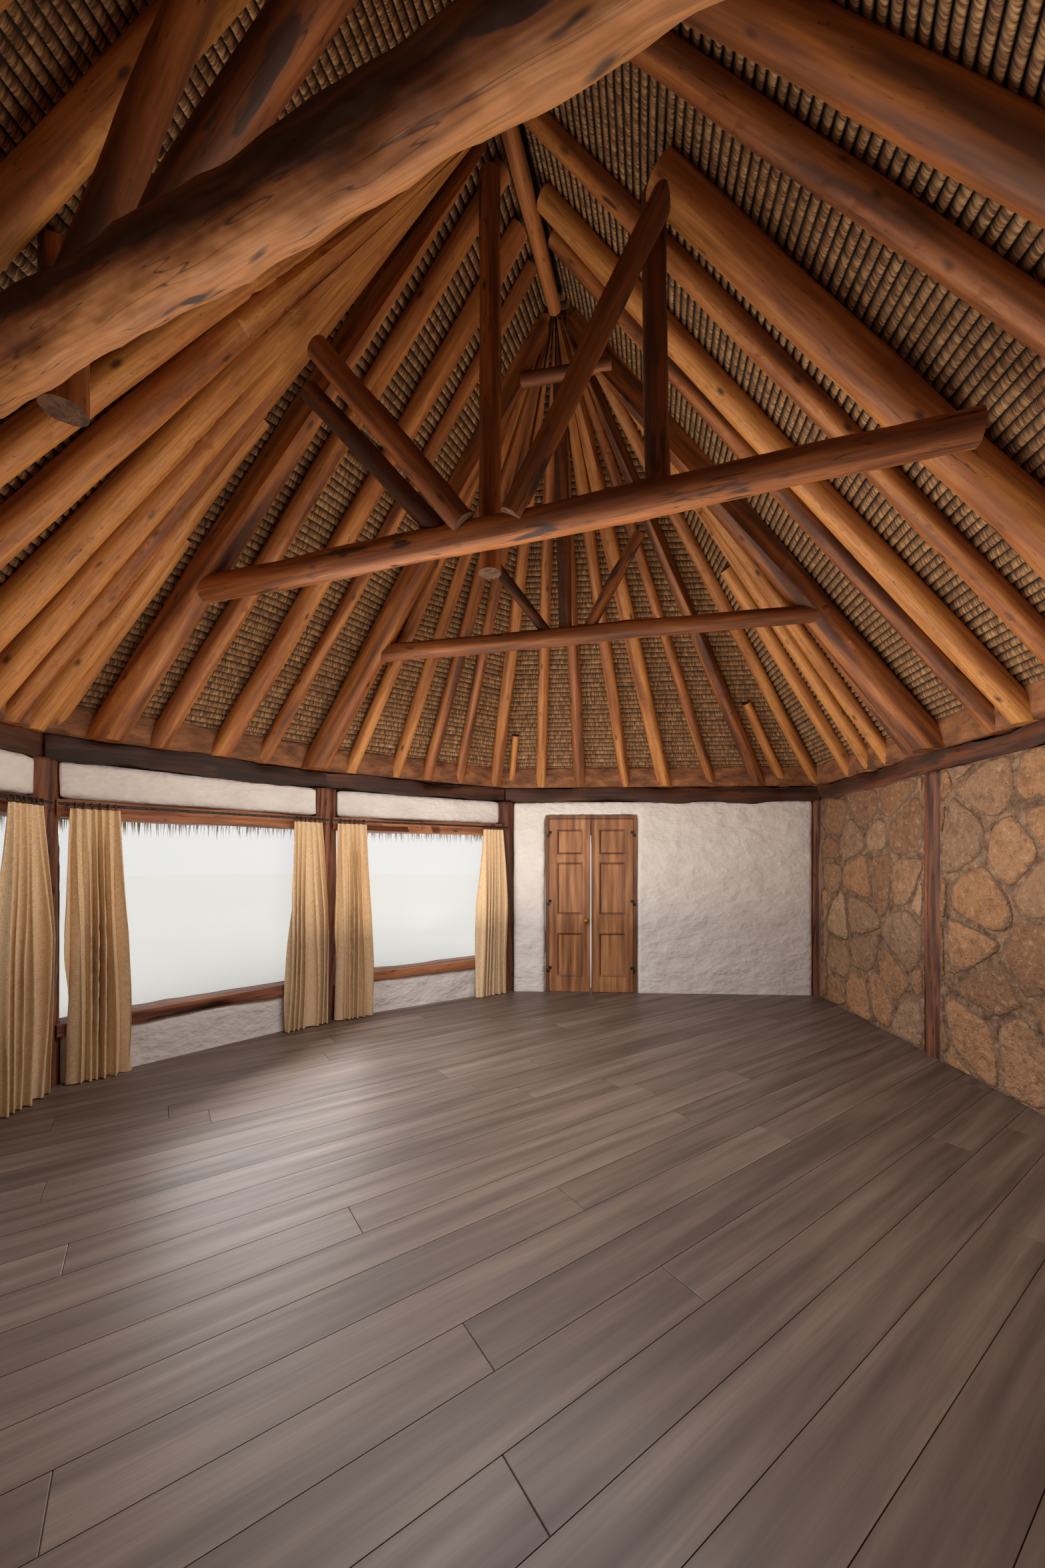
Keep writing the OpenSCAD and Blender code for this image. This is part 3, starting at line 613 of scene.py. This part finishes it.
def shape_log(piece, chance, step, lumps, sway, knots, hewn):
    """Slices a log across and works it: long lumps, a slight bend, swollen knots and adze marks."""
    first, second, axis = pole_axes(piece)
    reach = [vert.co.dot(axis) for vert in piece.verts]
    low, high = min(reach), max(reach)
    count = max(2, round((high - low) / step))
    for k in range(1, count):
        place = axis * (low + (high - low) * k / count)
        bmesh.ops.bisect_plane(piece, geom=piece.verts[:] + piece.edges[:] + piece.faces[:],
                               plane_co=place, plane_no=axis)
    if hewn:
        bmesh.ops.remove_doubles(piece, verts=piece.verts, dist=1e-4)
        across = [edge for edge in piece.edges
                  if abs((edge.verts[0].co - edge.verts[1].co).dot(axis)) < 1e-3]
        bmesh.ops.subdivide_edges(piece, edges=across, cuts=2, use_grid_fill=True)
    piece.normal_update()
    middle = sum((vert.co for vert in piece.verts), Vector()) / len(piece.verts)
    shift = Vector([chance.uniform(-40, 40) for _ in range(3)])
    bend = (first * chance.uniform(-1, 1) + second * chance.uniform(-1, 1)) * sway * (high - low)
    tone = chance.random()
    swellings = [(chance.uniform(low, high), chance.uniform(0, math.tau), chance.uniform(0.4, 1))
                 for _ in range(round(knots * (high - low)))]
    grain_layer = piece.verts.layers.float_vector.new("grain")
    tone_layer = piece.verts.layers.float.new("tone")
    moves = []
    for vert in piece.verts:
        local = vert.co - middle
        place = Vector((local.dot(first), local.dot(second), vert.co.dot(axis)))
        vert[grain_layer] = place + shift
        out = vert.normal - axis * vert.normal.dot(axis)
        wave = noise.noise(Vector((place.x * 7, place.y * 7, place.z * 1.6)) + shift)
        fine = noise.noise(Vector((place.x * 22, place.y * 22, place.z * 6)) + shift)
        size = lumps * (wave + 0.35 * fine) + hewn * adze_mark(place + shift)
        vert[tone_layer] = tone
        # On the hewn tie beam one side is painted lighter and the other darker: partly hewn wood
        # against bark, partly painted light and painted shade.
        if hewn:
            vert[tone_layer] = 0.5 + 1.3 * out.dot(HEWN_AND_LIT_SIDE) + 0.8 * wave + 0.4 * fine
        turn = math.atan2(place.y, place.x)
        for level, angle, strength in swellings:
            away = (turn - angle + math.pi) % math.tau - math.pi
            near = math.exp(-((place.z - level) / 0.07) ** 2 - (away / 0.6) ** 2)
            size += 0.45 * lumps * strength * near
        share = (place.z - low) / (high - low)
        moves.append(out * size + bend * math.sin(math.pi * share))
    for vert, move in zip(piece.verts, moves):
        vert.co += move
    for face in piece.faces:
        face.smooth = True
        face.material_index = int(abs(face.normal.dot(axis)) > 0.8)
    for edge in piece.edges:
        edge.smooth = edge.calc_face_angle(0) < 0.75


def add_logs(node, material, step=0.15, lumps=0.006, sway=0.002, knots=1.0, hewn=0):
    chance = random.Random(node + "1")
    mesh = bpy.data.meshes.new(node + "_wood")
    joined = bmesh.new()
    joined.verts.layers.float_vector.new("grain")
    joined.verts.layers.float.new("tone")
    for piece in pieces_of(node):
        shape_log(piece, chance, step, lumps, sway, knots, hewn)
        part = bpy.data.meshes.new("part")
        piece.to_mesh(part)
        piece.free()
        joined.from_mesh(part)
        bpy.data.meshes.remove(part)
    joined.to_mesh(mesh)
    joined.free()
    return add_object(node + "_wood", mesh, [material, "end"], [node])


def strip_faces(start, rows, columns, closed=True, capped=False):
    """Quads between rows of points, closed on themselves or open, and a face over the last row."""
    faces = []
    for row in range(rows - 1):
        for k in range(columns if closed else columns - 1):
            a = start + row * columns + k
            b = start + row * columns + (k + 1) % columns
            faces.append((a, b, b + columns, a + columns))
    if capped:
        faces.append([start + (rows - 1) * columns + k for k in range(columns)])
    return faces


def groove_depth(place, seed, width):
    return max(0.0, 1 - abs(noise.noise(place + seed)) / width)


def add_posts():
    """Gnarled trunks with deep splits that turn slowly about them."""
    chance = random.Random(7)
    around, step = 72, 0.03
    points, faces, grain, tone = [], [], [], []
    for piece in pieces_of("wall_posts"):
        low = Vector([min(vert.co[k] for vert in piece.verts) for k in range(3)])
        high = Vector([max(vert.co[k] for vert in piece.verts) for k in range(3)])
        piece.free()
        middle = (low + high) / 2
        seed = Vector([chance.uniform(-30, 30) for _ in range(3)])
        twist = chance.uniform(-0.5, 0.5)
        rows = round((high.z - low.z) / step)
        start = len(points)
        own_tone = chance.random()
        for row in range(rows + 1):
            z = low.z + (high.z - low.z) * row / rows
            for k in range(around):
                angle = math.tau * k / around
                turn = angle + twist * z + 0.5 * noise.noise(Vector((z * 0.9, 0, 0)) + seed)
                ring = Vector((math.cos(turn), math.sin(turn), 0))
                lump = noise.noise(Vector((ring.x, ring.y, z * 0.8)) + seed)
                split = groove_depth(Vector((ring.x * 1.5, ring.y * 1.5, z * 0.42)), seed, 0.10)
                small = groove_depth(Vector((ring.x * 4.2, ring.y * 4.2, z * 0.8)), seed, 0.14)
                radius = POST_D / 2 - 0.002 + 0.007 * lump - SPLIT_DEPTH * split - 0.006 * small
                points.append((middle.x + radius * math.cos(angle),
                               middle.y + radius * math.sin(angle), z))
                grain.append((ring.x * 0.12 + seed.x, ring.y * 0.12 + seed.y, z + seed.z))
                # The splits are painted darker than the wood around them: painted shade in the grooves.
                tone.append(0.8 * own_tone - 0.5 * split)
        faces += strip_faces(start, rows + 1, around, capped=True)
    add_mesh("wall_posts_wood", points, faces, "post", "dark_timber", ["wall_posts"],
             grain=grain, tone=tone)


def add_reed_rolls():
    """Grass rolls laid one above the other, parallel to the eaves."""
    chance = random.Random(3)
    stations = 12
    sink = (0.0, 0.026, 0.034, 0.036, 0.034, 0.026, 0.0)
    points, faces, weave, belly = [], [], [], []
    for roll in range(ROLLS):
        shares = [-EAVES_SHARE + (RIDGE_SHARE + EAVES_SHARE) * (roll + k / (len(sink) - 1)) / ROLLS
                  for k in range(len(sink))]
        start = len(points)
        seed = chance.uniform(-50, 50)
        middle = [roof_at(i, f / stations, shares[3]) for i in range(SIDES) for f in range(stations)]
        travelled = [chance.uniform(0, 5)]
        for before, place in zip(middle, middle[1:]):
            travelled.append(travelled[-1] + (place - before).length)
        for k, (share, depth) in enumerate(zip(shares, sink)):
            for i in range(SIDES):
                for f in range(stations):
                    place = roof_at(i, f / stations, share, CEILING_LIFT)
                    swell = noise.noise(Vector((place.x * 2.3, place.y * 2.3, seed)))
                    points.append(place - Vector((0, 0, depth * (1 + 0.28 * swell))))
                    weave.append((travelled[i * stations + f], k * 0.011, roll * 1.7))
                    # How far the point stands out on its roll, which the reed shader uses for painted
                    # shade at the rolls' edges.
                    belly.append(depth / max(sink))
        faces += strip_faces(start, len(sink), SIDES * stations)
    add_mesh("reed_rolls", points, faces, "reed", "reed", weave=weave, belly=belly)


def clamp_to_box(point, margin=0.003):
    low, high = cad_box
    return Vector([min(max(point[k], low[k] + margin), high[k] - margin) for k in range(3)])


def add_blade(store, root, down, side, up, length, width, rise, tone):
    """A narrow leaf of straw: its root, its two widest points and its lifted tip."""
    points, faces, tones = store
    first = len(points)
    middle = root + down * length * 0.45 + up * rise * 0.6
    tip = root + down * length + up * rise
    for point in (root - up * 0.004, middle - side * width / 2, tip, middle + side * width / 2):
        points.append(clamp_to_box(point))
        tones.append(tone)
    faces.append((first, first + 1, first + 2, first + 3))


def add_straw(name, store):
    points, faces, tones = store
    add_mesh(name, points, faces, "straw", "thatch", smooth=False, tone=tones)


def thatch_top(share):
    """Height of the thatch over the roof surface: each course steps down to the next."""
    ends = [RIDGE_SHARE] + THATCH_COURSES + [-EAVES_TOP_SHARE]
    for high, low in zip(ends, ends[1:]):
        if share >= low:
            break
    return THATCH_LIFT + THATCH_T - COURSE_STEP * (share - low) / (high - low)


def roof_width(i, share):
    return (roof_at(i, 1, share) - roof_at(i, 0, share)).length


def add_thatch_blades():
    chance = random.Random(11)
    store = ([], [], [])
    for i in range(SIDES):
        widest = roof_width(i, -EAVES_TOP_SHARE)
        for _ in range(round(widest * BLADES_PER_METRE)):
            f = chance.random()
            share = chance.uniform(-EAVES_TOP_SHARE + 0.02, RIDGE_SHARE)
            if chance.random() > roof_width(i, share) / widest:
                continue
            top_lift = thatch_top(share)
            root = roof_at(i, f, share, top_lift)
            down = (roof_at(i, f, share - 0.03, top_lift) - root).normalized()
            side = (along(i) + down * chance.uniform(-0.15, 0.15)).normalized()
            up = side.cross(down).normalized()
            if up.z < 0:
                up = -up
            room = (share + EAVES_TOP_SHARE) * 4.5 + 0.04
            length = min(chance.uniform(0.16, 0.32), room)
            add_blade(store, root, down, side, up, length, chance.uniform(0.008, 0.016),
                      chance.uniform(0.002, 0.009), chance.random())
    add_straw("thatch_straw", store)


def add_eaves_fringe():
    """Cut ends of straw over the eaves' face, and wisps that hang from its lower edge."""
    chance = random.Random(13)
    store = ([], [], [])
    for i in range(SIDES):
        out = outward(i)
        for _ in range(round(roof_width(i, -EAVES_TOP_SHARE) * FRINGE_PER_METRE)):
            f = chance.random()
            level = chance.random()
            low = roof_at(i, f, -EAVES_SHARE, THATCH_LIFT)
            high = roof_at(i, f, -EAVES_TOP_SHARE, THATCH_LIFT + THATCH_T)
            root = low.lerp(high, level ** 1.4) - out * 0.02
            down = (out * 0.75 - Vector((0, 0, chance.uniform(0.55, 1.1)))).normalized()
            side = (along(i) + out * chance.uniform(-0.3, 0.3)).normalized()
            add_blade(store, root, down, side, out, chance.uniform(0.05, 0.11),
                      chance.uniform(0.006, 0.012), 0.0, chance.uniform(0.1, 0.8))
            if chance.random() < 0.3:
                hang = (out * chance.uniform(-0.2, 0.25) - Vector((0, 0, 1))).normalized()
                root = low - out * chance.uniform(0.02, 0.12)
                add_blade(store, root, hang, side, out, chance.uniform(0.08, 0.2),
                          chance.uniform(0.004, 0.009), 0.0, chance.uniform(0.5, 1.0))
    add_straw("eaves_straw", store)


def add_cap_blades():
    chance = random.Random(17)
    low, high = (Vector(c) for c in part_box("ridge_cap"))
    half = (high.x - low.x) / 2
    middle = (low.x + high.x) / 2
    store = ([], [], [])
    for _ in range(CAP_BLADES):
        way = chance.choice((-1, 1))
        share = chance.random() ** 0.8
        root = Vector((middle + way * share * half * 0.86, chance.uniform(low.y + 0.01, high.y - 0.01),
                       high.z - share * (high.z - low.z) * 0.7))
        down = Vector((way * 0.62, chance.uniform(-0.1, 0.1), -0.5)).normalized()
        side = Vector((0, 1, 0))
        up = Vector((way * 0.62, 0, 0.78))
        add_blade(store, root, down, side, up, chance.uniform(0.12, 0.22), chance.uniform(0.008, 0.014),
                  chance.uniform(0.002, 0.014), chance.random())
    add_straw("ridge_straw", store)


def clip(polygon, point, normal):
    """The part of a plane polygon on the far side of a line from its normal."""
    kept = []
    for k, here in enumerate(polygon):
        there = polygon[(k + 1) % len(polygon)]
        a = (here - point).dot(normal)
        b = (there - point).dot(normal)
        if a <= 0:
            kept.append(here)
        if (a < 0 < b) or (b < 0 < a):
            kept.append(here.lerp(there, a / (a - b)))
    return kept


def stone_cells(width, height, chance):
    """Outlines of rubble stones that fill a wall face, as uneven cells with a mortar joint between."""
    wide, high = STONE_SIZE
    rows = max(1, round(height / high))
    seeds = []
    for row in range(-1, rows + 1):
        columns = max(1, round(width / wide / chance.uniform(0.75, 1.5)))
        for column in range(-1, columns + 1):
            seeds.append((Vector(((column + 0.5 + chance.uniform(-0.36, 0.36)) * width / columns,
                                  (row + 0.5 + chance.uniform(-0.34, 0.34)) * height / rows)),
                          chance.uniform(-0.035, 0.035)))
    for seed, size in seeds:
        cell = [Vector(p) for p in ((0, 0), (width, 0), (width, height), (0, height))]
        joint = chance.uniform(0.012, 0.024)
        for other, other_size in seeds:
            gap = other - seed
            if 0 < gap.length < 1.5:
                middle = seed + gap * (0.5 + (size - other_size) / (2 * gap.length))
                cell = clip(cell, middle - gap.normalized() * joint, gap)
                if len(cell) < 3:
                    break
        if len(cell) > 2:
            yield cell


def rounded(outline, chance):
    """Cuts the corners and roughens the edges, which leaves the outline of a broken stone."""
    for share in (0.16, 0.24, 0.26):
        outline = [a.lerp(b, part) for a, b in zip(outline, outline[1:] + outline[:1])
                   for part in (share, 1 - share)]
    seed = chance.uniform(-30, 30)
    middle = sum(outline, Vector((0, 0))) / len(outline)
    return [point + (point - middle).normalized() * 0.016
            * noise.noise(Vector((point.x * 9, point.y * 9, seed))) for point in outline]


def add_stone(store, outline, place, chance):
    """One stone: rings that rise from the mortar to a low uneven crown."""
    points, faces, tones, rims = store
    middle = sum(outline, Vector((0, 0))) / len(outline)
    if max((point - middle).length for point in outline) < 0.06:
        return
    tone = chance.random()
    crown = chance.uniform(0.008, 0.02)
    seed = Vector((chance.uniform(-20, 20), chance.uniform(-20, 20), 0))
    tilt = Vector((chance.uniform(-0.03, 0.03), chance.uniform(-0.03, 0.03)))
    start = len(points)
    for scale, rise, rim in STONE_RINGS:
        for point in outline:
            spot = middle + (point - middle) * scale
            lump = noise.noise(Vector((spot.x * 8, spot.y * 8, 0)) + seed)
            chip = noise.noise(Vector((spot.x * 25, spot.y * 25, 0)) + seed)
            level = rise * (crown * (1 + 0.7 * lump + 0.3 * chip) + (spot - middle).dot(tilt))
            level = min(level, STONE_RISE) if rise > 0 else -0.02
            points.append(place(spot, level))
            tones.append(tone)
            rims.append(rim)
    faces += strip_faces(start, len(STONE_RINGS), len(outline), capped=True)


def outer_reach(node, i):
    """Where the outer face of a stone wall starts and ends along its side."""
    places = []
    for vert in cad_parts[node].data.vertices:
        local = vert.co - corner(i)
        if local.dot(outward(i)) > STONE_WALL_T - 0.002:
            places.append(local.dot(along(i)))
    return min(places), max(places)


def add_stones():
    chance = random.Random(23)
    store = ([], [], [], [])
    for i in STONE_SIDES:
        length = side_length(i)
        post_s = STONE_POST_S if i == STONE_SIDES[0] else length - STONE_POST_S
        clear = POST_D / 2 - 0.015
        inner = [(0.12, post_s - clear, 0, -1), (post_s + clear, length - 0.12, 0, -1)]
        wall = "stone_wall_far" if i == STONE_SIDES[0] else "stone_wall_near"
        outer_a, outer_b = outer_reach(wall, i)
        for first, last, face_out, way in inner + [(outer_a + 0.01, outer_b - 0.01, STONE_WALL_T, 1)]:
            base = FLOOR_Z if way < 0 else 0
            height = BEAM_Z - base - 0.01 if way < 0 else 2.1
            for outline in stone_cells(last - first, height, chance):
                def place(spot, level, i=i, first=first, face_out=face_out, way=way, base=base):
                    height_here = base + max(spot.y, 0) + 0.004
                    return on_side(i, first + spot.x, face_out + way * level, height_here)
                add_stone(store, rounded(outline, chance), place, chance)
    points, faces, tones, rims = store
    add_mesh("wall_stones", points, faces, "stone", "stone", tone=tones, rim=rims)


def add_plaster(name, nodes, voxel):
    """Hand-made plaster: the walls' own shape with soft edges and an uneven face."""
    joined = bmesh.new()
    for node in nodes:
        joined.from_mesh(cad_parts[node].data)
    mesh = bpy.data.meshes.new(name)
    joined.to_mesh(mesh)
    joined.free()
    obj = add_object(name, mesh, ["plaster"], nodes)
    remesh = obj.modifiers.new("remesh", "REMESH")
    remesh.mode = "VOXEL"
    remesh.voxel_size = voxel
    bpy.context.view_layer.update()
    worked = bmesh.new()
    worked.from_mesh(obj.evaluated_get(bpy.context.evaluated_depsgraph_get()).to_mesh())
    obj.modifiers.clear()
    for _ in range(3):
        bmesh.ops.smooth_vert(worked, verts=worked.verts, factor=0.5,
                              use_axis_x=True, use_axis_y=True, use_axis_z=True)
    worked.normal_update()
    for vert in worked.verts:
        wave = noise.noise(vert.co * 2.6) + 0.5 * noise.noise(vert.co * 7)
        vert.co += vert.normal * (0.005 * wave - 0.003)
        vert.co.z = max(vert.co.z, 0)
    for face in worked.faces:
        face.smooth = True
    worked.to_mesh(mesh)
    worked.free()


def add_mud_fillet():
    """The smoothed earth between ring beam and ceiling, with an uneven belly."""
    stations = 24
    inner = [corner_out(i, -0.024) for i in range(SIDES)]
    outer = [corner_out(i, 0.08) for i in range(SIDES)]
    belly = 5
    points, faces = [], []
    rows = belly + 4
    for level in range(rows):
        for i in range(SIDES):
            for k in range(stations):
                f = k / stations
                foot = inner[i].lerp(inner[(i + 1) % SIDES], f)
                foot.z = BEAM_TOP_Z + 0.003
                back = outer[i].lerp(outer[(i + 1) % SIDES], f)
                back.z = BEAM_TOP_Z + 0.003
                top = roof_at(i, f, 0.025, CEILING_LIFT - 0.015)
                if level <= belly + 1:
                    share = level / (belly + 1)
                    swell = math.sin(math.pi * share) ** 0.6
                    lump = noise.noise(foot * 3.1 + Vector((0, 0, share)))
                    point = foot.lerp(top, share) - outward(i) * (0.012 * swell * (1 + lump))
                    point.z += 0.004 * lump * swell
                elif level == belly + 2:
                    point = roof_at(i, f, -0.02, CEILING_LIFT - 0.02)
                else:
                    point = back
                points.append(point)
    faces = strip_faces(0, rows, SIDES * stations)
    last = (rows - 1) * SIDES * stations
    count = SIDES * stations
    faces += [(last + k, last + (k + 1) % count, (k + 1) % count, k) for k in range(count)]
    add_mesh("mud_coat", points, faces, "mud", "mud", ["mud_fillet"])


def add_planks():
    """Wide boards that run along the far window wall, cut to the room."""
    chance = random.Random(29)
    way = along(1)
    across = Vector((-way.y, way.x, 0))
    room = [Vector((c.x, c.y, 0)) for c in CORNERS]
    reach = [p.dot(across) for p in room]
    ends = [p.dot(way) for p in room]
    points, faces, grain, tone = [], [], [], []
    row = math.floor(min(reach) / BOARD_W)
    while row * BOARD_W < max(reach):
        low, high = row * BOARD_W + BOARD_JOINT / 2, (row + 1) * BOARD_W - BOARD_JOINT / 2
        start = min(ends) - chance.uniform(0, 2.4)
        while start < max(ends):
            length = chance.uniform(2.6, 4.2)
            end = start + length - BOARD_JOINT
            outline = [way * a + across * b
                       for a, b in ((start, low), (end, low), (end, high), (start, high))]
            for k in range(SIDES):
                outline = clip(outline, room[k] - outward(k) * 0.004, outward(k))
                if len(outline) < 3:
                    break
            if len(outline) > 2:
                first = len(points)
                own = chance.random()
                slip = chance.uniform(-20, 20)
                middle = sum(outline, Vector()) / len(outline)
                for inset, z in ((0, -0.001), (0, BOARD_T - 0.001), (0.002, BOARD_T)):
                    for point in outline:
                        pulled = point - (point - middle).normalized() * inset
                        points.append((pulled.x, pulled.y, FLOOR_Z + z))
                        grain.append((point.dot(way) + slip, point.dot(across), 0.0))
                        tone.append(own)
                faces += strip_faces(first, 3, len(outline), capped=True)
            start += length
        row += 1
    add_mesh("floor_boards", points, faces, "planks", "floor_boards", smooth=False,
             grain=grain, tone=tone)


# Curtains, with their rods' distance from the inside face of the wall
ROD_Z = FLOOR_Z + 1.895
ROD_OUT = -0.088
CURTAIN_END = 0.006
CURTAIN_W = 0.38
CURTAIN_TOP = 0.028
FOLDS = 6


def rod_end(i):
    """How far from corner i the curtains' rods end."""
    return 0.06 if i % SIDES == 0 else 0.024


def curtain_row(share, seed):
    """A row of the curtain in its own plane: how far along, how far out, from rod to floor."""
    fall = min(1, share * 2.2)
    spread = 0.72 + 0.26 * fall - 0.05 * math.sin(2.6 * share + seed)
    sway = 0.035 * math.sin(2.4 * share + seed) * share
    steps = FOLDS * 12
    row = []
    for k in range(steps + 1):
        t = k / steps
        drift = 0.9 * noise.noise(Vector((t * 2.6, share * 1.1, seed)))
        turn = math.tau * (FOLDS * t + drift * (0.3 + fall))
        body = 0.5 + 1.3 * abs(noise.noise(Vector((t * 3.4, share * 0.9, seed + 9))))
        depth = (0.013 + 0.026 * fall) * body
        ripple = noise.noise(Vector((t * 5, share * 2, seed)))
        row.append((CURTAIN_W * (0.5 + (t - 0.5) * spread) + sway
                    + 0.012 * fall * math.sin(2 * turn + seed),
                    depth * math.sin(turn) + 0.012 * fall * ripple))
    return row


def add_curtain(i, start, number):
    chance = random.Random(100 + number)
    seed = chance.uniform(-9, 9)
    rows = 26
    top, bottom = ROD_Z - CURTAIN_TOP, FLOOR_Z + 0.012
    points, weave = [], []
    for level in range(rows + 1):
        share = level / rows
        row = curtain_row(share, seed)
        travelled = 0.0
        for k, (a, out) in enumerate(row):
            if k:
                travelled += math.dist(row[k - 1], row[k])
            points.append(on_side(i, start + a, ROD_OUT + out, top + (bottom - top) * share))
            weave.append((travelled, share * (top - bottom), float(number)))
    columns = len(points) // (rows + 1)
    faces = strip_faces(0, rows + 1, columns, closed=False)
    obj = add_mesh(f"curtain_{number}", points, faces, "linen", "linen", ["curtains"], weave=weave)
    rings = add_rings(i, start, number)


def add_rings(i, start, number):
    """Wooden rings on the rod, one at each fold of the heading."""
    points, faces = [], []
    big, small, around, across = 0.02, 0.0042, 16, 8
    for fold in range(FOLDS):
        share = 0.5 + ((fold + 0.5) / FOLDS - 0.5) * 0.7
        middle = on_side(i, start + CURTAIN_W * share, ROD_OUT, ROD_Z - 0.006)
        lean = 0.35 * math.sin(fold * 2.3 + number)
        side = (along(i) + outward(i) * lean).normalized()
        level = Vector((-side.y, side.x, 0))
        first = len(points)
        for k in range(around):
            turn = math.tau * k / around
            spoke = level * math.cos(turn) + Vector((0, 0, math.sin(turn)))
            for m in range(across):
                tube = math.tau * m / across
                reach = big + small * math.cos(tube)
                points.append(middle + spoke * reach + side * small * math.sin(tube))
        for k in range(around):
            for m in range(across):
                a, b = first + k * across, first + (k + 1) % around * across
                faces.append((a + m, b + m, b + (m + 1) % across, a + (m + 1) % across))
    return add_mesh(f"curtain_rings_{number}", points, faces, "ring_wood", "door_timber")


def add_curtains():
    number = 0
    for i in WINDOW_SIDES:
        last = side_length(i) - rod_end(i + 1) - CURTAIN_END - CURTAIN_W
        for start in (rod_end(i) + CURTAIN_END, last):
            add_curtain(i, start, number)
            number += 1


# Door leaves: stiles, panels as shares of the height, and thickness
STILE_W = 0.088
PANEL_SINK = 0.013
PANELS = [(0.942, 0.796), (0.75, 0.448), (0.34, 0.088)]
LEAF_T = 0.042
# Section of the bead round a panel: inset from the panel's edge, and depth under the leaf's face
BEAD = ((-0.001, -0.0005), (0.006, -0.0005), (0.02, PANEL_SINK * 0.75), (0.024, PANEL_SINK))


def leaf_span(leaf):
    """How far along the end wall a leaf starts and ends."""
    places = [(vert.co - corner(2)).dot(along(2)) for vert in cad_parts[leaf].data.vertices]
    return min(places), max(places)


def add_mouldings(leaf, body):
    """Sloping beads round the sunk panels, on both faces of a leaf, in a darker wood than the leaf as
    painted shade at the panels' edges.
    """
    low, high = (Vector(c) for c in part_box(leaf))
    s0, s1 = leaf_span(leaf)
    height = high.z - low.z
    points, faces = [], []
    for top, bottom in PANELS:
        for face_out, way in ((0.0, 1), (LEAF_T, -1)):
            start = len(points)
            for inset, depth in BEAD:
                a, b = s0 + STILE_W + inset, s1 - STILE_W - inset
                c, d = low.z + height * bottom + inset, low.z + height * top - inset
                for s, z in ((a, c), (b, c), (b, d), (a, d)):
                    points.append(on_side(2, s, face_out + way * depth, z))
            faces += strip_faces(start, len(BEAD), 4)
    add_mesh(leaf + "_beads", points, faces, "moulding", "door_timber", body=body, smooth=False)


# Stage


def ridge_middle():
    low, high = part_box("ridge_pole")
    return Vector(((low[0] + high[0]) / 2, (low[1] + high[1]) / 2, 0))


def add_camera():
    data = bpy.data.cameras.new("camera")
    camera = linked("camera", data)
    data.sensor_width = SENSOR_MM
    data.lens = SENSOR_MM * FOCAL_PX / PHOTO_H
    data.shift_y = (HORIZON_Y - PHOTO_H / 2) / PHOTO_H
    data.clip_start = 0.05
    data.clip_end = 200
    camera.location = ridge_middle() + Vector((EYE[0], EYE[1], FLOOR_Z + EYE[2]))
    camera.rotation_euler = (math.radians(90), 0, math.radians(EYE_TURN))
    bpy.context.scene.camera = camera


def add_world():
    world = bpy.data.worlds.new("world")
    bpy.context.scene.world = world
    world.use_nodes = True
    world.node_tree.nodes["Background"].inputs[0].default_value = (1, 1, 1, 1)
    world.node_tree.nodes["Background"].inputs[1].default_value = 0.9


def add_light(name, kind, energy, towards, **settings):
    data = bpy.data.lights.new(name, kind)
    data.energy = energy
    for setting, value in settings.items():
        setattr(data, setting, value)
    light = linked(name, data)
    light.rotation_euler = Vector(towards).to_track_quat("-Z", "Y").to_euler()
    return light


def add_lamp(name, place, target, size, power, colour=(1, 1, 1)):
    """A square lamp of so many metres and watts that shines from one place at another."""
    towards = Vector(target) - Vector(place)
    lamp = add_light(name, "AREA", power, towards, size=size, color=colour)
    lamp.location = place
    lamp.visible_camera = False


def add_sun():
    """Soft daylight from the side without windows, for the views from outside."""
    add_light("sun", "SUN", 2.2, (-0.55, 0.45, -0.75), angle=math.radians(25))


def add_stage():
    half, rise = 60, -0.002
    corners = [(x * half, y * half, rise) for x, y in ((-1, -1), (1, -1), (1, 1), (-1, 1))]
    mesh = mesh_of("stage_floor", corners, [(0, 1, 2, 3)], False)
    floor = linked("stage_floor", mesh)
    mesh.materials.append(studio("stage_floor", (0.62, 0.61, 0.58, 1.0)))


dress_nodes()
for rafters in ("rafters_left", "rafters_right", "rafters_far", "rafters_near"):
    add_logs(rafters, "pole")
add_logs("principal_rafters", "pole", lumps=0.009)
add_logs("tie_beam_near", "hewn", step=0.035, lumps=0.014, knots=2, hewn=ADZE_DEPTH)
for tie in ("tie_beam_middle", "tie_beam_far", "peeled_truss_poles"):
    add_logs(tie, "truss", step=0.08, lumps=0.01, knots=2)
for part in ("truss_posts", "truss_struts"):
    add_logs(part, "truss", step=0.08, lumps=0.01, knots=2)
add_logs("ridge_pole", "truss", lumps=0.008)
add_logs("ring_beam", "beam", step=0.05, lumps=0.055, sway=0, knots=2)
for log in ("window_lintels", "window_sills"):
    add_logs(log, "post", step=0.05, lumps=0.018, sway=0, knots=3)
add_posts()
add_reed_rolls()
add_thatch_blades()
add_eaves_fringe()
add_cap_blades()
add_stones()
add_plaster("end_wall_plaster", ["end_wall_left", "end_wall_over_door", "end_wall_right"], 0.03)
add_plaster("near_end_plaster", ["near_end_wall"], 0.035)
add_plaster("low_wall_plaster", ["low_walls"], 0.03)
add_plaster("window_head_plaster", ["window_heads"], 0.025)
add_mud_fillet()
add_planks()
add_curtains()
add_mouldings("door_leaf_left", "left_leaf")
add_mouldings("door_leaf_right", "right_leaf")
add_stage()
add_camera()
add_world()
add_sun()
add_lamp("room_light_up", (0, 0.9, 0.9), (0, 0.9, 5), 3.6, 85, (1.0, 0.88, 0.74))
add_lamp("room_light_down", (0, 0.5, 3.2), (0, 0.5, 0), 2.0, 80)
add_lamp("window_light", (-2.0, 0.9, 1.5), (3.0, 0.9, 0.9), 2.0, 55)

bpy.context.scene.view_settings.view_transform = "Standard"
